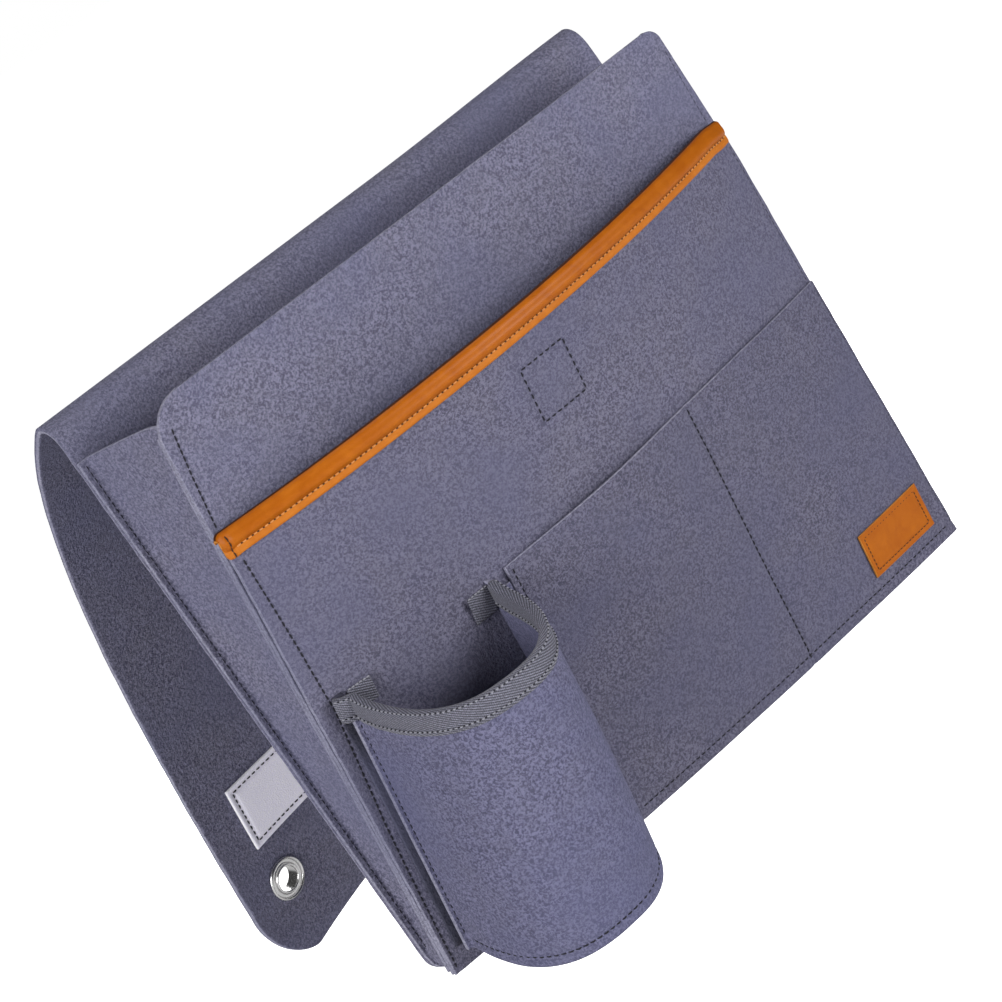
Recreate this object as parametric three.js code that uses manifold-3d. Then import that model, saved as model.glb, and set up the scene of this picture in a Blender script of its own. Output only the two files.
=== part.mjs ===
// Felt caddy that hangs over a sofa armrest: a wedge-shaped box with pockets and a cup in front,
// and a flap that goes over the arm and down behind it.
// Millimetres, +Z up, +X to the right seen from the front, which faces -Y.
// The solids are placed from the bottom edge of the back panel, and the group at the end moves them so
// that the origin lies on top of the armrest, under the middle of the fold.

import * as THREE from "three";
import { mergeVertices } from "three/addons/utils/BufferGeometryUtils.js";
import Module from "manifold-3d";

const wasm = await Module();
wasm.setup();

const { degToRad, lerp } = THREE.MathUtils;

// Sheet goods
const panelFelt = 3;
const pocketFelt = 2.4;
const leather = 1.4;
const bindingTape = 1;
const hookTape = 1.6;
const closureTape = 1.4;
const layerGap = 0.3;
const eyeletSeatGap = 0.6;

// Box: the front panel's outer face, measured from the front face of the back panel
const caddyWidth = 330;
const frontTopWidth = 300;
const frontHeight = 278;
const frontTopDepth = 60;
const frontBottomDepth = 18;
const frontTopBow = 5;
const frontBottomBow = 8;
const frontCornerRadius = 13;
const backCornerRadius = 10;
const seamFlange = 7;
const gussetTopDrop = 8;

// Fold over the armrest and the flap behind it
const foldCentreHeight = 278;
const foldRadius = 11;
const foldEndAngle = 65;
const flapReach = 154;
const flapDrop = 296;
const flapTopHandle = 95;
const flapEndHandle = 132;
const flapEndAngle = 80;
const flapBowAngle = 5;
const flapCornerRadius = 30;

// Hook tape and eyelets on the flap
const hookTapeHeight = 35;
const hookTapeSideInset = 20;
const hookTapeEndInset = 61;
const eyeletSideInset = 26;
const eyeletEndInset = 37;
const eyeletBoreRadius = 6;
const eyeletBarrelWall = 1;
const eyeletFlangeRadius = 11;
const eyeletFlangeCrown = 1.7;
const eyeletRollRadius = 9.2;
const eyeletRollHeight = 1.2;
const washerRadius = 10.6;
const washerThickness = 1;

// Trim pocket, its leather trim and the closure squares behind it
const trimPocketHeight = 222;
const trimPocketTilt = 4.4;
const trimPocketEase = 29;
const trimFrontHeight = 10;
const trimBackHeight = 8;
const trimPadding = 1.2;
const trimStitchInset = 3;
const trimEndInset = 1;
const closureSide = 25;
const closureDrop = 22;

// Cup
const cupWidth = 77;
const cupBaseSpread = 10;
const cupRimInset = 6;
const cupDepth = 58;
const cupRimHeight = 133;
const cupBaseHeight = 12;
const cupDroop = 23;
const cupRimLean = 11;
const cupSquareness = 0.77;
const cupFlange = 7;
const cupBaseLip = 6;
const bindingHeight = 10;
const bindingTabLength = 12;

// Lower pockets and the label
const lowerPocketHeight = 138;
const lowerPocketEase = 9;
const lowerPocketToCup = 1.5;
const labelWidth = 43;
const labelHeight = 22;
const labelSideInset = 14;
const labelBottomInset = 11;

// Facets
const panelColumns = 20;
const panelRows = 8;
const cornerFacets = 6;
const foldFacets = 8;
const flapRows = 16;
const cupFacets = 20;
const edgeFacets = 6;
const roundFacets = 24;

const felt = new THREE.MeshStandardMaterial({ color: "#63657a", roughness: 0.95, metalness: 0 });
const tan = new THREE.MeshStandardMaterial({ color: "#c96a1c", roughness: 0.5, metalness: 0 });
const binding = new THREE.MeshStandardMaterial({ color: "#43464f", roughness: 0.85, metalness: 0 });
const hook = new THREE.MeshStandardMaterial({ color: "#b9bacb", roughness: 0.8, metalness: 0 });
const metal = new THREE.MeshStandardMaterial({ color: "#c4c6ca", roughness: 0.25, metalness: 1 });

// Solids

// Turns a list of points and triangles into a closed geometry whose faces point out.
function closedGeometry(points, faces) {
  let volume = 0;
  const edge = new THREE.Vector3();
  for (let i = 0; i < faces.length; i += 3) {
    const [a, b, c] = [points[faces[i]], points[faces[i + 1]], points[faces[i + 2]]];
    volume += edge.crossVectors(a, b).dot(c);
  }
  const turned = volume < 0 ? faces.reverse() : faces;
  const geometry = new THREE.BufferGeometry().setFromPoints(points);
  geometry.setIndex(turned);
  return geometry;
}

// Walls between neighbouring rings of equal length, each ring a closed row of points.
function ringWalls(ringCount, pointCount) {
  const faces = [];
  for (let ring = 0; ring + 1 < ringCount; ring += 1) {
    for (let i = 0; i < pointCount; i += 1) {
      const a = ring * pointCount + i;
      const b = ring * pointCount + ((i + 1) % pointCount);
      faces.push(a, b, b + pointCount, a, b + pointCount, a + pointCount);
    }
  }
  return faces;
}

// A sheet: each row has a front and a back line of points, and the rows are lofted into one solid.
function sheetSolid(rows) {
  const width = rows[0].front.length;
  const pointCount = 2 * width;
  const points = rows.flatMap(({ front, back }) => [...front, ...[...back].reverse()]);
  const faces = ringWalls(rows.length, pointCount);
  const last = (rows.length - 1) * pointCount;
  for (let i = 0; i + 1 < width; i += 1) {
    const cap = [i, i + 1, pointCount - 2 - i, pointCount - 1 - i];
    const [a, b, c, d] = cap;
    faces.push(c, b, a, d, c, a);
    faces.push(last + a, last + b, last + c, last + a, last + c, last + d);
  }
  return closedGeometry(points, faces);
}

// A block between two rings of the same outline, such as the cup's base.
function blockSolid(lowRing, highRing) {
  const outline = lowRing.map((p) => new THREE.Vector2(p.x, p.y));
  const turn = Math.sign(THREE.ShapeUtils.area(outline));
  const faces = ringWalls(2, outline.length);
  for (const [a, b, c] of THREE.ShapeUtils.triangulateShape(outline, [])) {
    const triangle = [outline[a], outline[b], outline[c]];
    const [i, j, k] = Math.sign(THREE.ShapeUtils.area(triangle)) === turn ? [a, b, c] : [a, c, b];
    faces.push(k, j, i);
    faces.push(outline.length + i, outline.length + j, outline.length + k);
  }
  return closedGeometry([...lowRing, ...highRing], faces);
}

function manifoldOf(geometry) {
  const bare = geometry.clone();
  bare.deleteAttribute("normal");
  bare.deleteAttribute("uv");
  const merged = mergeVertices(bare, 1e-4);
  const mesh = new wasm.Mesh({
    numProp: 3,
    vertProperties: merged.attributes.position.array,
    triVerts: new Uint32Array(merged.index.array),
  });
  return new wasm.Manifold(mesh);
}

function geometryOf(manifold) {
  const mesh = manifold.getMesh();
  const geometry = new THREE.BufferGeometry();
  geometry.setAttribute("position", new THREE.BufferAttribute(mesh.vertProperties, 3));
  geometry.setIndex(new THREE.BufferAttribute(mesh.triVerts, 1));
  return geometry;
}

function evenSteps(from, to, count) {
  return Array.from({ length: count + 1 }, (_, i) => lerp(from, to, i / count));
}

// Rise and inset of a round corner, from where it leaves the straight side to its end.
function cornerSteps(radius) {
  return evenSteps(0, Math.PI / 2, cornerFacets).map((angle) => ({
    rise: radius * Math.sin(angle),
    inset: radius * (1 - Math.cos(angle)),
  }));
}

const caddy = new THREE.Group();

function addPart(name, geometry, material) {
  const mesh = new THREE.Mesh(geometry, material);
  mesh.name = name;
  caddy.add(mesh);
  return mesh;
}

// Front surfaces: each gives y at a point x across and z up

function frontWidth(z) {
  return lerp(caddyWidth, frontTopWidth, z / frontHeight);
}

function crown(x, z) {
  return 1 - ((2 * x) / frontWidth(z)) ** 2;
}

function frontFace(x, z) {
  const up = z / frontHeight;
  return -lerp(frontBottomDepth, frontTopDepth, up) - lerp(frontBottomBow, frontTopBow, up) * crown(x, z);
}

function frontInner(x, z) {
  return frontFace(x, z) + panelFelt;
}

const trimRoom = leather + 2 * layerGap;

function trimPocketInner(x, z) {
  const up = z / trimPocketHeight;
  return frontFace(x, z) - lerp(layerGap, trimRoom, up) - trimPocketEase * up * crown(x, z);
}

function trimPocketFace(x, z) {
  return trimPocketInner(x, z) - pocketFelt;
}

const cupRimLeft = cupRimInset + cupFlange - frontWidth(cupRimHeight) / 2;
const cupRight = cupRimLeft + cupWidth;

// The cup's left seam runs further out towards the base.
function cupLeft(z) {
  const up = (z - cupBaseHeight) / (cupRimHeight - cupBaseHeight);
  return cupRimLeft - cupBaseSpread * (1 - up);
}

const lowerPocketLeft = cupRight + cupFlange + lowerPocketToCup;
const dividerX = (lowerPocketLeft + caddyWidth / 2) / 2;

// Each lower pocket stands a little open at the middle of its mouth and is flat at its seams.
function lowerPocketInner(x, z) {
  const [from, to] = x < dividerX ? [lowerPocketLeft, dividerX] : [dividerX, frontWidth(z) / 2];
  const mouth = Math.sin((Math.PI * (x - from)) / (to - from)) ** 2;
  return trimPocketFace(x, z) - layerGap - lowerPocketEase * mouth * (z / lowerPocketHeight);
}

function lowerPocketFace(x, z) {
  return lowerPocketInner(x, z) - pocketFelt;
}

// A panel between two such surfaces. Each row gives its height and the x of its columns.
function panelSolid(rows, face, inner) {
  return sheetSolid(
    rows.map(({ z, columns }) => ({
      front: columns.map((x) => new THREE.Vector3(x, face(x, z), z)),
      back: columns.map((x) => new THREE.Vector3(x, inner(x, z), z)),
    })),
  );
}

function fullRow(z, inset = 0) {
  const half = frontWidth(z) / 2 - inset;
  return { z, columns: evenSteps(-half, half, panelColumns) };
}

// Back panel, flat, with round bottom corners

function backPanel() {
  const half = caddyWidth / 2;
  const corner = cornerSteps(backCornerRadius)
    .reverse()
    .map(({ rise, inset }) => ({ z: backCornerRadius - rise, columns: [inset - half, half - inset] }));
  const top = { z: foldCentreHeight - layerGap, columns: [-half, half] };
  return panelSolid([...corner, top], () => 0, () => panelFelt);
}

addPart("back_panel", backPanel(), felt);

// Fold: the same felt, bent round the top of the armrest

const foldCentre = new THREE.Vector2(panelFelt / 2 + foldRadius, foldCentreHeight);

function foldBridge() {
  const half = caddyWidth / 2;
  const line = (angle, radius) => {
    const y = foldCentre.x + radius * Math.cos(angle);
    const z = foldCentre.y + radius * Math.sin(angle);
    return [new THREE.Vector3(-half, y, z), new THREE.Vector3(half, y, z)];
  };
  return sheetSolid(
    evenSteps(Math.PI, degToRad(foldEndAngle), foldFacets).map((angle) => ({
      front: line(angle, foldRadius + panelFelt / 2),
      back: line(angle, foldRadius - panelFelt / 2),
    })),
  );
}

addPart("fold_bridge", foldBridge(), felt);

// Flap: a side profile in the YZ plane, swung further back in the middle of the width

const flapStart = new THREE.Vector2(foldRadius, 0)
  .rotateAround(new THREE.Vector2(), degToRad(foldEndAngle))
  .add(foldCentre);
const flapEnd = new THREE.Vector2(flapStart.x + flapReach, flapStart.y - flapDrop);
const flapCurve = new THREE.CubicBezierCurve(
  flapStart,
  new THREE.Vector2(0, -flapTopHandle)
    .rotateAround(new THREE.Vector2(), degToRad(foldEndAngle))
    .add(flapStart),
  new THREE.Vector2(-flapEndHandle, 0)
    .rotateAround(new THREE.Vector2(), -degToRad(flapEndAngle))
    .add(flapEnd),
  flapEnd,
);
const flapLength = flapCurve.getLength();

function flapMiddle(x, along) {
  const share = along / flapLength;
  const point = flapCurve.getPointAt(share);
  const swing = degToRad(flapBowAngle) * (1 - ((2 * x) / caddyWidth) ** 2) * share ** 2;
  point.rotateAround(foldCentre, swing);
  return new THREE.Vector3(x, point.x, point.y);
}

// Points away from the armrest.
function flapNormal(x, along) {
  const across = flapMiddle(x + 1, along).sub(flapMiddle(x - 1, along));
  const before = flapMiddle(x, Math.max(along - 1, 0));
  const down = flapMiddle(x, Math.min(along + 1, flapLength)).sub(before);
  return across.cross(down).normalize();
}

function flapPoint(x, along, height) {
  return flapMiddle(x, along).addScaledVector(flapNormal(x, along), height);
}

function flapSheet(rows, outer, inner) {
  return sheetSolid(
    rows.map(({ along, half }) => {
      const columns = evenSteps(-half, half, panelColumns);
      return {
        front: columns.map((x) => flapPoint(x, along, outer)),
        back: columns.map((x) => flapPoint(x, along, inner)),
      };
    }),
  );
}

const eyeletAlong = flapLength - eyeletEndInset;
const eyeletX = caddyWidth / 2 - eyeletSideInset;
const eyeletBarrelRadius = eyeletBoreRadius + eyeletBarrelWall;

// Turns the lathe's Y axis to the flap's outward normal at the eyelet.
function placeOnFlap(object, x, along) {
  object.position.copy(flapMiddle(x, along));
  object.quaternion.setFromUnitVectors(new THREE.Vector3(0, 1, 0), flapNormal(x, along));
  return object;
}

function rearFlap() {
  const half = caddyWidth / 2;
  const straight = evenSteps(layerGap, flapLength - flapCornerRadius, flapRows).map((along) => ({ along, half }));
  const corner = cornerSteps(flapCornerRadius)
    .slice(1)
    .map(({ rise, inset }) => ({ along: flapLength - flapCornerRadius + rise, half: half - inset }));
  let flap = manifoldOf(flapSheet([...straight, ...corner], panelFelt / 2, -panelFelt / 2));
  const holeRadius = eyeletBarrelRadius + layerGap;
  for (const x of [-eyeletX, eyeletX]) {
    const drill = new THREE.Mesh(
      new THREE.CylinderGeometry(holeRadius, holeRadius, 4 * panelFelt, roundFacets),
    );
    placeOnFlap(drill, x, eyeletAlong).updateMatrix();
    flap = flap.subtract(manifoldOf(drill.geometry.applyMatrix4(drill.matrix)));
  }
  return geometryOf(flap);
}

addPart("rear_flap", rearFlap(), felt);

function hookStrip() {
  const bottom = flapLength - hookTapeEndInset;
  const half = caddyWidth / 2 - hookTapeSideInset;
  const rows = evenSteps(bottom - hookTapeHeight, bottom, 4).map((along) => ({ along, half }));
  const seat = -panelFelt / 2 - layerGap;
  return flapSheet(rows, seat, seat - hookTape);
}

addPart("hook_tape", hookStrip(), hook);

// Eyelet, set from the flap's inner face and rolled over a washer on its outer face

const washerSeat = panelFelt / 2 + eyeletSeatGap;

// A ring turned about the Y axis from a profile of radius and height pairs.
function turnedRing(profile) {
  const closed = [...profile, profile[0]];
  return new THREE.LatheGeometry(closed.map(([r, h]) => new THREE.Vector2(r, h)), roundFacets);
}

function eyelet() {
  const seat = -panelFelt / 2 - eyeletSeatGap;
  const crownHeight = seat - eyeletFlangeCrown;
  const rollSeat = washerSeat + washerThickness + layerGap;
  const rollTop = rollSeat + eyeletRollHeight;
  const bevel = 0.5;
  return turnedRing([
    [eyeletBoreRadius, seat],
    [eyeletBoreRadius + bevel, crownHeight + bevel],
    [eyeletBarrelRadius + 2 * bevel, crownHeight],
    [eyeletFlangeRadius - 3 * bevel, crownHeight + bevel],
    [eyeletFlangeRadius, seat - bevel],
    [eyeletFlangeRadius, seat],
    [eyeletBarrelRadius, seat],
    [eyeletBarrelRadius, rollSeat],
    [eyeletRollRadius, rollSeat],
    [eyeletRollRadius, rollTop - bevel],
    [eyeletRollRadius - bevel, rollTop],
    [eyeletBoreRadius + bevel, rollTop],
    [eyeletBoreRadius, rollTop - bevel],
  ]);
}

function washer() {
  const inner = eyeletBarrelRadius + layerGap;
  const top = washerSeat + washerThickness;
  const bevel = washerThickness / 3;
  return turnedRing([
    [inner, washerSeat],
    [washerRadius, washerSeat],
    [washerRadius, top - bevel],
    [washerRadius - bevel, top],
    [inner, top],
  ]);
}

for (const [side, x] of [
  ["left", -eyeletX],
  ["right", eyeletX],
]) {
  placeOnFlap(addPart(`eyelet_${side}`, eyelet(), metal), x, eyeletAlong);
  placeOnFlap(addPart(`eyelet_washer_${side}`, washer(), metal), x, eyeletAlong);
}

// Front panel with round upper corners

function frontPanel() {
  const corner = cornerSteps(frontCornerRadius)
    .slice(1)
    .map(({ rise, inset }) => fullRow(frontHeight - frontCornerRadius + rise, inset));
  const straight = evenSteps(0, frontHeight - frontCornerRadius, panelRows).map((z) => fullRow(z));
  return panelSolid([...straight, ...corner], frontFace, frontInner);
}

addPart("front_panel", frontPanel(), felt);

// Side gussets: a wall with a seam flange behind the front panel and one on the back panel

const bottomGussetTop = seamFlange + pocketFelt;

function sideGusset(side) {
  const row = (z) => {
    const backEdge = caddyWidth / 2;
    const frontEdge = frontWidth(z) / 2;
    const backWall = backEdge - seamFlange;
    const frontWall = frontEdge - seamFlange;
    const seat = (x) => frontInner(x, z) + layerGap;
    const outer = [
      [backEdge, -layerGap - pocketFelt],
      [backWall, -layerGap - pocketFelt],
      [frontWall, seat(frontWall) + pocketFelt],
      [frontEdge, seat(frontEdge) + pocketFelt],
    ];
    const inner = [
      [backEdge, -layerGap],
      [backWall - pocketFelt, -layerGap],
      [frontWall - pocketFelt, seat(frontWall - pocketFelt)],
      [frontEdge, seat(frontEdge)],
    ];
    const place = ([x, y]) => new THREE.Vector3(side * x, y, z);
    return { front: outer.map(place), back: inner.map(place) };
  };
  return sheetSolid([row(bottomGussetTop + layerGap), row(frontHeight - gussetTopDrop)]);
}

addPart("left_gusset", sideGusset(-1), felt);
addPart("right_gusset", sideGusset(1), felt);

// Bottom gusset: the same channel lying down, its flanges turned to the floor

function bottomGusset() {
  const half = caddyWidth / 2 - backCornerRadius;
  const row = (x) => {
    const seat = (z) => frontInner(x, z) + layerGap;
    const outer = [
      [-layerGap - pocketFelt, 0],
      [-layerGap - pocketFelt, seamFlange],
      [seat(seamFlange) + pocketFelt, seamFlange],
      [seat(0) + pocketFelt, 0],
    ];
    const inner = [
      [-layerGap, 0],
      [-layerGap, bottomGussetTop],
      [seat(bottomGussetTop), bottomGussetTop],
      [seat(0), 0],
    ];
    const place = ([y, z]) => new THREE.Vector3(x, y, z);
    return { front: outer.map(place), back: inner.map(place) };
  };
  return sheetSolid(evenSteps(-half, half, panelColumns).map(row));
}

addPart("bottom_gusset", bottomGusset(), felt);

// Trim pocket panel, its top edge sewn on a little higher at the right

function trimTop(x) {
  return trimPocketHeight + (trimPocketTilt * 2 * x) / frontTopWidth;
}

function trimPocketPanel() {
  const row = (share) => {
    const { columns } = fullRow(share * trimPocketHeight);
    const line = (surface) =>
      columns.map((x) => {
        const z = share * trimTop(x);
        return new THREE.Vector3(x, surface(x, z), z);
      });
    return { front: line(trimPocketFace), back: line(trimPocketInner) };
  };
  return sheetSolid(evenSteps(0, 1, panelRows).map(row));
}

addPart("trim_pocket_panel", trimPocketPanel(), felt);

// A folded strip along a path: each frame has a place, an outward and an upward direction,
// and the section's points are given as outward and upward distances.
function foldedStrip(frames, outerSection, innerSection) {
  const place = ({ point, out, up }, [outward, upward]) =>
    point.clone().addScaledVector(out, outward).addScaledVector(up, upward);
  return sheetSolid(
    frames.map((frame) => ({
      front: outerSection.map((pair) => place(frame, pair)),
      back: innerSection.map((pair) => place(frame, pair)),
    })),
  );
}

// Half an ellipse over the top edge of a sheet, from its front to its back.
function overEdge(halfWidth, height) {
  return evenSteps(0, Math.PI, edgeFacets).map((angle) => [
    halfWidth * Math.cos(angle),
    layerGap + height * Math.sin(angle),
  ]);
}

// Leather trim, padded in front and folded over the pocket's top edge

function leatherTrim() {
  const half = frontWidth(trimPocketHeight) / 2 - trimEndInset;
  const middle = (x, z) => (trimPocketFace(x, z) + trimPocketInner(x, z)) / 2;
  const frames = evenSteps(-half, half, panelColumns).map((x) => {
    const top = trimTop(x);
    const point = new THREE.Vector3(x, middle(x, top), top);
    const below = top - trimFrontHeight;
    const up = point.clone().sub(new THREE.Vector3(x, middle(x, below), below)).normalize();
    return { point, up, out: new THREE.Vector3(0, -up.z, up.y) };
  });
  const inside = pocketFelt / 2 + layerGap;
  const outside = inside + leather;
  const padTop = -trimPadding;
  const padMiddle = -(trimFrontHeight - trimStitchInset) / 2;
  const outerSection = [
    [outside, -trimFrontHeight],
    [outside, trimStitchInset - trimFrontHeight],
    [outside + trimPadding, padMiddle],
    [outside + trimPadding / 2, padTop],
    ...overEdge(outside, leather + layerGap),
    [-outside, -trimBackHeight],
  ];
  const innerSection = [
    [inside, -trimFrontHeight],
    [inside, trimStitchInset - trimFrontHeight],
    [inside, padMiddle],
    [inside, padTop],
    ...overEdge(inside, layerGap),
    [-inside, -trimBackHeight],
  ];
  return foldedStrip(frames, outerSection, innerSection);
}

addPart("leather_trim", leatherTrim(), tan);

// Closure squares: the hook square behind the trim pocket, the loop square on the front panel

function closureSquare(face, inner) {
  const top = trimPocketHeight - closureDrop;
  const columns = evenSteps(-closureSide / 2, closureSide / 2, 2);
  const rows = [top - closureSide, top].map((z) => ({ z, columns }));
  return panelSolid(rows, face, inner);
}

addPart(
  "closure_hook_patch",
  closureSquare(
    (x, z) => trimPocketInner(x, z) + layerGap,
    (x, z) => trimPocketInner(x, z) + layerGap + closureTape,
  ),
  hook,
);
addPart(
  "closure_loop_patch",
  closureSquare(
    (x, z) => frontFace(x, z) - layerGap - closureTape,
    (x, z) => frontFace(x, z) - layerGap,
  ),
  hook,
);

// Lower pocket panel, sewn down along its divider

function lowerPocketRow(z) {
  const half = panelColumns / 2;
  const left = evenSteps(lowerPocketLeft, dividerX, half);
  const right = evenSteps(dividerX, frontWidth(z) / 2, half).slice(1);
  return { z, columns: [...left, ...right] };
}

const lowerPocketRows = evenSteps(0, lowerPocketHeight, panelRows).map(lowerPocketRow);

addPart("lower_pocket_panel", panelSolid(lowerPocketRows, lowerPocketFace, lowerPocketInner), felt);

function label() {
  const right = caddyWidth / 2 - labelSideInset;
  const columns = evenSteps(right - labelWidth, right, edgeFacets);
  const rows = [labelBottomInset, labelBottomInset + labelHeight].map((z) => ({ z, columns }));
  const seat = (x, z) => lowerPocketFace(x, z) - layerGap;
  return panelSolid(rows, (x, z) => seat(x, z) - leather, seat);
}

addPart("leather_label", label(), tan);

// Cup: a squarish U in plan, sewn to the trim pocket at both ends. Its front droops, and the front of
// its rim leans to the right.

function cupSeat(x, z) {
  return trimPocketFace(x, z) - layerGap;
}

// The cup's plan at one height: its chord along the pocket's face and a function that places a point
// at a distance across from the chord's middle and a distance out from the chord.
function cupPlan(z) {
  const left = new THREE.Vector2(cupLeft(z), cupSeat(cupLeft(z), z));
  const right = new THREE.Vector2(cupRight, cupSeat(cupRight, z));
  const across = right.clone().sub(left).normalize();
  const outward = new THREE.Vector2(across.y, -across.x);
  const middle = left.clone().lerp(right, 0.5);
  const halfWidth = left.distanceTo(right) / 2;
  const lean = (cupRimLean * (z - cupBaseHeight)) / (cupRimHeight - cupBaseHeight);
  const place = (a, out) => {
    const reach = out / cupDepth;
    const plan = middle.clone().addScaledVector(across, a + lean * reach).addScaledVector(outward, out);
    return new THREE.Vector3(plan.x, plan.y, z - cupDroop * reach);
  };
  return { halfWidth, place };
}

// A point of the U, drawn in by an inset from the cup's outer face and at least a foot away from its seat.
function cupPoint(plan, angle, inset, foot) {
  const round = (value) => Math.sign(value) * Math.abs(value) ** cupSquareness;
  const across = -(plan.halfWidth - inset) * round(Math.cos(angle));
  const out = (cupDepth - inset) * round(Math.sin(angle));
  return plan.place(across, Math.max(out, foot));
}

function onSeat(x, z, height) {
  return new THREE.Vector3(x, cupSeat(x, z) - height, z);
}

function cupWallRow(z) {
  const plan = cupPlan(z);
  const angles = evenSteps(0, Math.PI, cupFacets);
  return {
    front: [
      onSeat(cupLeft(z) - cupFlange, z, pocketFelt),
      ...angles.map((angle) => cupPoint(plan, angle, 0, pocketFelt)),
      onSeat(cupRight + cupFlange, z, pocketFelt),
    ],
    back: [
      onSeat(cupLeft(z) - cupFlange, z, 0),
      ...angles.map((angle) => cupPoint(plan, angle, pocketFelt, 0)),
      onSeat(cupRight + cupFlange, z, 0),
    ],
  };
}

addPart("cup_wall", sheetSolid(evenSteps(cupBaseHeight, cupRimHeight, panelRows).map(cupWallRow)), felt);

// Cup base: a floor with its lip turned down inside the wall

function cupFloorRing(z, inset) {
  const plan = cupPlan(z);
  const round = evenSteps(0, Math.PI, cupFacets).map((angle) =>
    cupPoint(plan, angle, pocketFelt + layerGap + inset, inset),
  );
  const from = round.at(-1).x;
  const to = round[0].x;
  const back = evenSteps(from, to, edgeFacets)
    .slice(1, -1)
    .map((x) => onSeat(x, z, inset));
  return [...round, ...back];
}

function cupBase() {
  const top = cupBaseHeight + cupBaseLip + pocketFelt;
  const body = manifoldOf(blockSolid(cupFloorRing(cupBaseHeight, 0), cupFloorRing(top, 0)));
  const hollow = blockSolid(
    cupFloorRing(cupBaseHeight - pocketFelt, pocketFelt),
    cupFloorRing(cupBaseHeight + cupBaseLip, pocketFelt),
  );
  return geometryOf(body.subtract(manifoldOf(hollow)));
}

addPart("cup_base", cupBase(), felt);

// Rim binding: a tape folded over the rim, its ends turned in on the pocket as tabs

function bindingFrame(angle) {
  const rimPlan = cupPlan(cupRimHeight);
  const basePlan = cupPlan(cupBaseHeight);
  const step = 0.01;
  const at = (plan, turn) => cupPoint(plan, turn, pocketFelt / 2, 0);
  const point = at(rimPlan, angle);
  const up = point.clone().sub(at(basePlan, angle)).normalize();
  const along = at(rimPlan, angle + step).sub(at(rimPlan, angle - step));
  return { point, up, out: along.cross(up).normalize() };
}

function bindingInsideRow(z) {
  const plan = cupPlan(z);
  const angles = evenSteps(0, Math.PI, cupFacets);
  const outer = pocketFelt + layerGap;
  const inner = outer + bindingTape;
  const leftEnd = cupLeft(z) + outer + bindingTabLength;
  const rightEnd = cupRight - outer - bindingTabLength;
  return {
    front: [
      onSeat(leftEnd, z, 0),
      ...angles.map((angle) => cupPoint(plan, angle, outer, 0)),
      onSeat(rightEnd, z, 0),
    ],
    back: [
      onSeat(leftEnd, z, bindingTape),
      ...angles.map((angle) => cupPoint(plan, angle, inner, bindingTape)),
      onSeat(rightEnd, z, bindingTape),
    ],
  };
}

function rimBinding() {
  const clear = pocketFelt + bindingTape + 2 * layerGap;
  const firstAngle = Math.asin((clear / cupDepth) ** (1 / cupSquareness));
  const round = evenSteps(0, Math.PI, cupFacets).slice(1, -1);
  const frames = [firstAngle, ...round, Math.PI - firstAngle].map(bindingFrame);
  const inside = pocketFelt / 2 + layerGap;
  const outside = inside + bindingTape;
  const outerSection = [[outside, -bindingHeight], ...overEdge(outside, bindingTape), [-outside, -bindingHeight]];
  const innerSection = [[inside, -bindingHeight], ...overEdge(inside, bindingTape / 2), [-inside, -bindingHeight]];
  const folded = manifoldOf(foldedStrip(frames, outerSection, innerSection));
  const turnedIn = sheetSolid([
    bindingInsideRow(cupRimHeight - bindingHeight),
    bindingInsideRow(cupRimHeight + layerGap),
  ]);
  return geometryOf(folded.add(manifoldOf(turnedIn)));
}

addPart("cup_rim_binding", rimBinding(), binding);

// The origin: the inside of the fold, where the top of the armrest bears

caddy.position.set(0, -foldCentre.x, -(foldCentre.y + foldRadius - panelFelt / 2));

const part = new THREE.Group();
part.add(caddy);

export default part;
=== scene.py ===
import bpy
import bmesh
import math
from bisect import bisect_right
from mathutils import Matrix, Vector, noise


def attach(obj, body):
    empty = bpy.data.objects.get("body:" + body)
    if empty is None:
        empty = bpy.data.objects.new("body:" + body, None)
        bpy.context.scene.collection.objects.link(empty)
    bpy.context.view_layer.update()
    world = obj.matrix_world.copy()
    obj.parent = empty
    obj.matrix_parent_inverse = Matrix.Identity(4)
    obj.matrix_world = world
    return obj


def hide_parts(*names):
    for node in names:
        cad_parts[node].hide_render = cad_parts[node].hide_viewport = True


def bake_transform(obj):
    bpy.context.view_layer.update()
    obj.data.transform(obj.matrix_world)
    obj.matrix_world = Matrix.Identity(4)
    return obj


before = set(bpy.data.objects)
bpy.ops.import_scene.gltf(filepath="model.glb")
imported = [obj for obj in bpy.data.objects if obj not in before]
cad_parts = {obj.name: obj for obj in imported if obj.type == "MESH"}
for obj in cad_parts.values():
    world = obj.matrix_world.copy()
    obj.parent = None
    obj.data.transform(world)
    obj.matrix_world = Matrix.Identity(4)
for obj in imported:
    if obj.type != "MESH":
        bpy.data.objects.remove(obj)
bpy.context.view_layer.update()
scene = bpy.context.scene
print("frame loaded:", len(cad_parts), "nodes")

# Pieces are laid out in millimetres from the bottom edge of the back panel: x to the right,
# y to the back, z up. place() takes a point to the part's own frame in metres.
bench = {"back": 12.5, "up": 287.5}


def place(x, y, z):
    return Vector((x, y - bench["back"], z - bench["up"])) / 1000


def placed(points):
    return [place(*point) for point in points]


def lerp(a, b, t):
    return a + (b - a) * t


def smooth(t):
    t = min(max(t, 0.0), 1.0)
    return t * t * (3 - 2 * t)


def even(start, end, count):
    return [lerp(start, end, i / count) for i in range(count + 1)]


# Positions from start to end, close together beside each of the given lines.
def spaced(start, end, lines, fine=1.0, coarse=4.5, reach=3.2):
    spots = [start]
    while end - spots[-1] > 0.4 * fine:
        here = spots[-1]
        near = min(abs(here - line) for line in lines)
        ahead = [line - reach - here for line in lines if line - reach > here]
        step = fine if near < reach else max(fine, min([coarse] + ahead))
        spots.append(min(here + step, end))
    spots[-1] = end
    return spots


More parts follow.
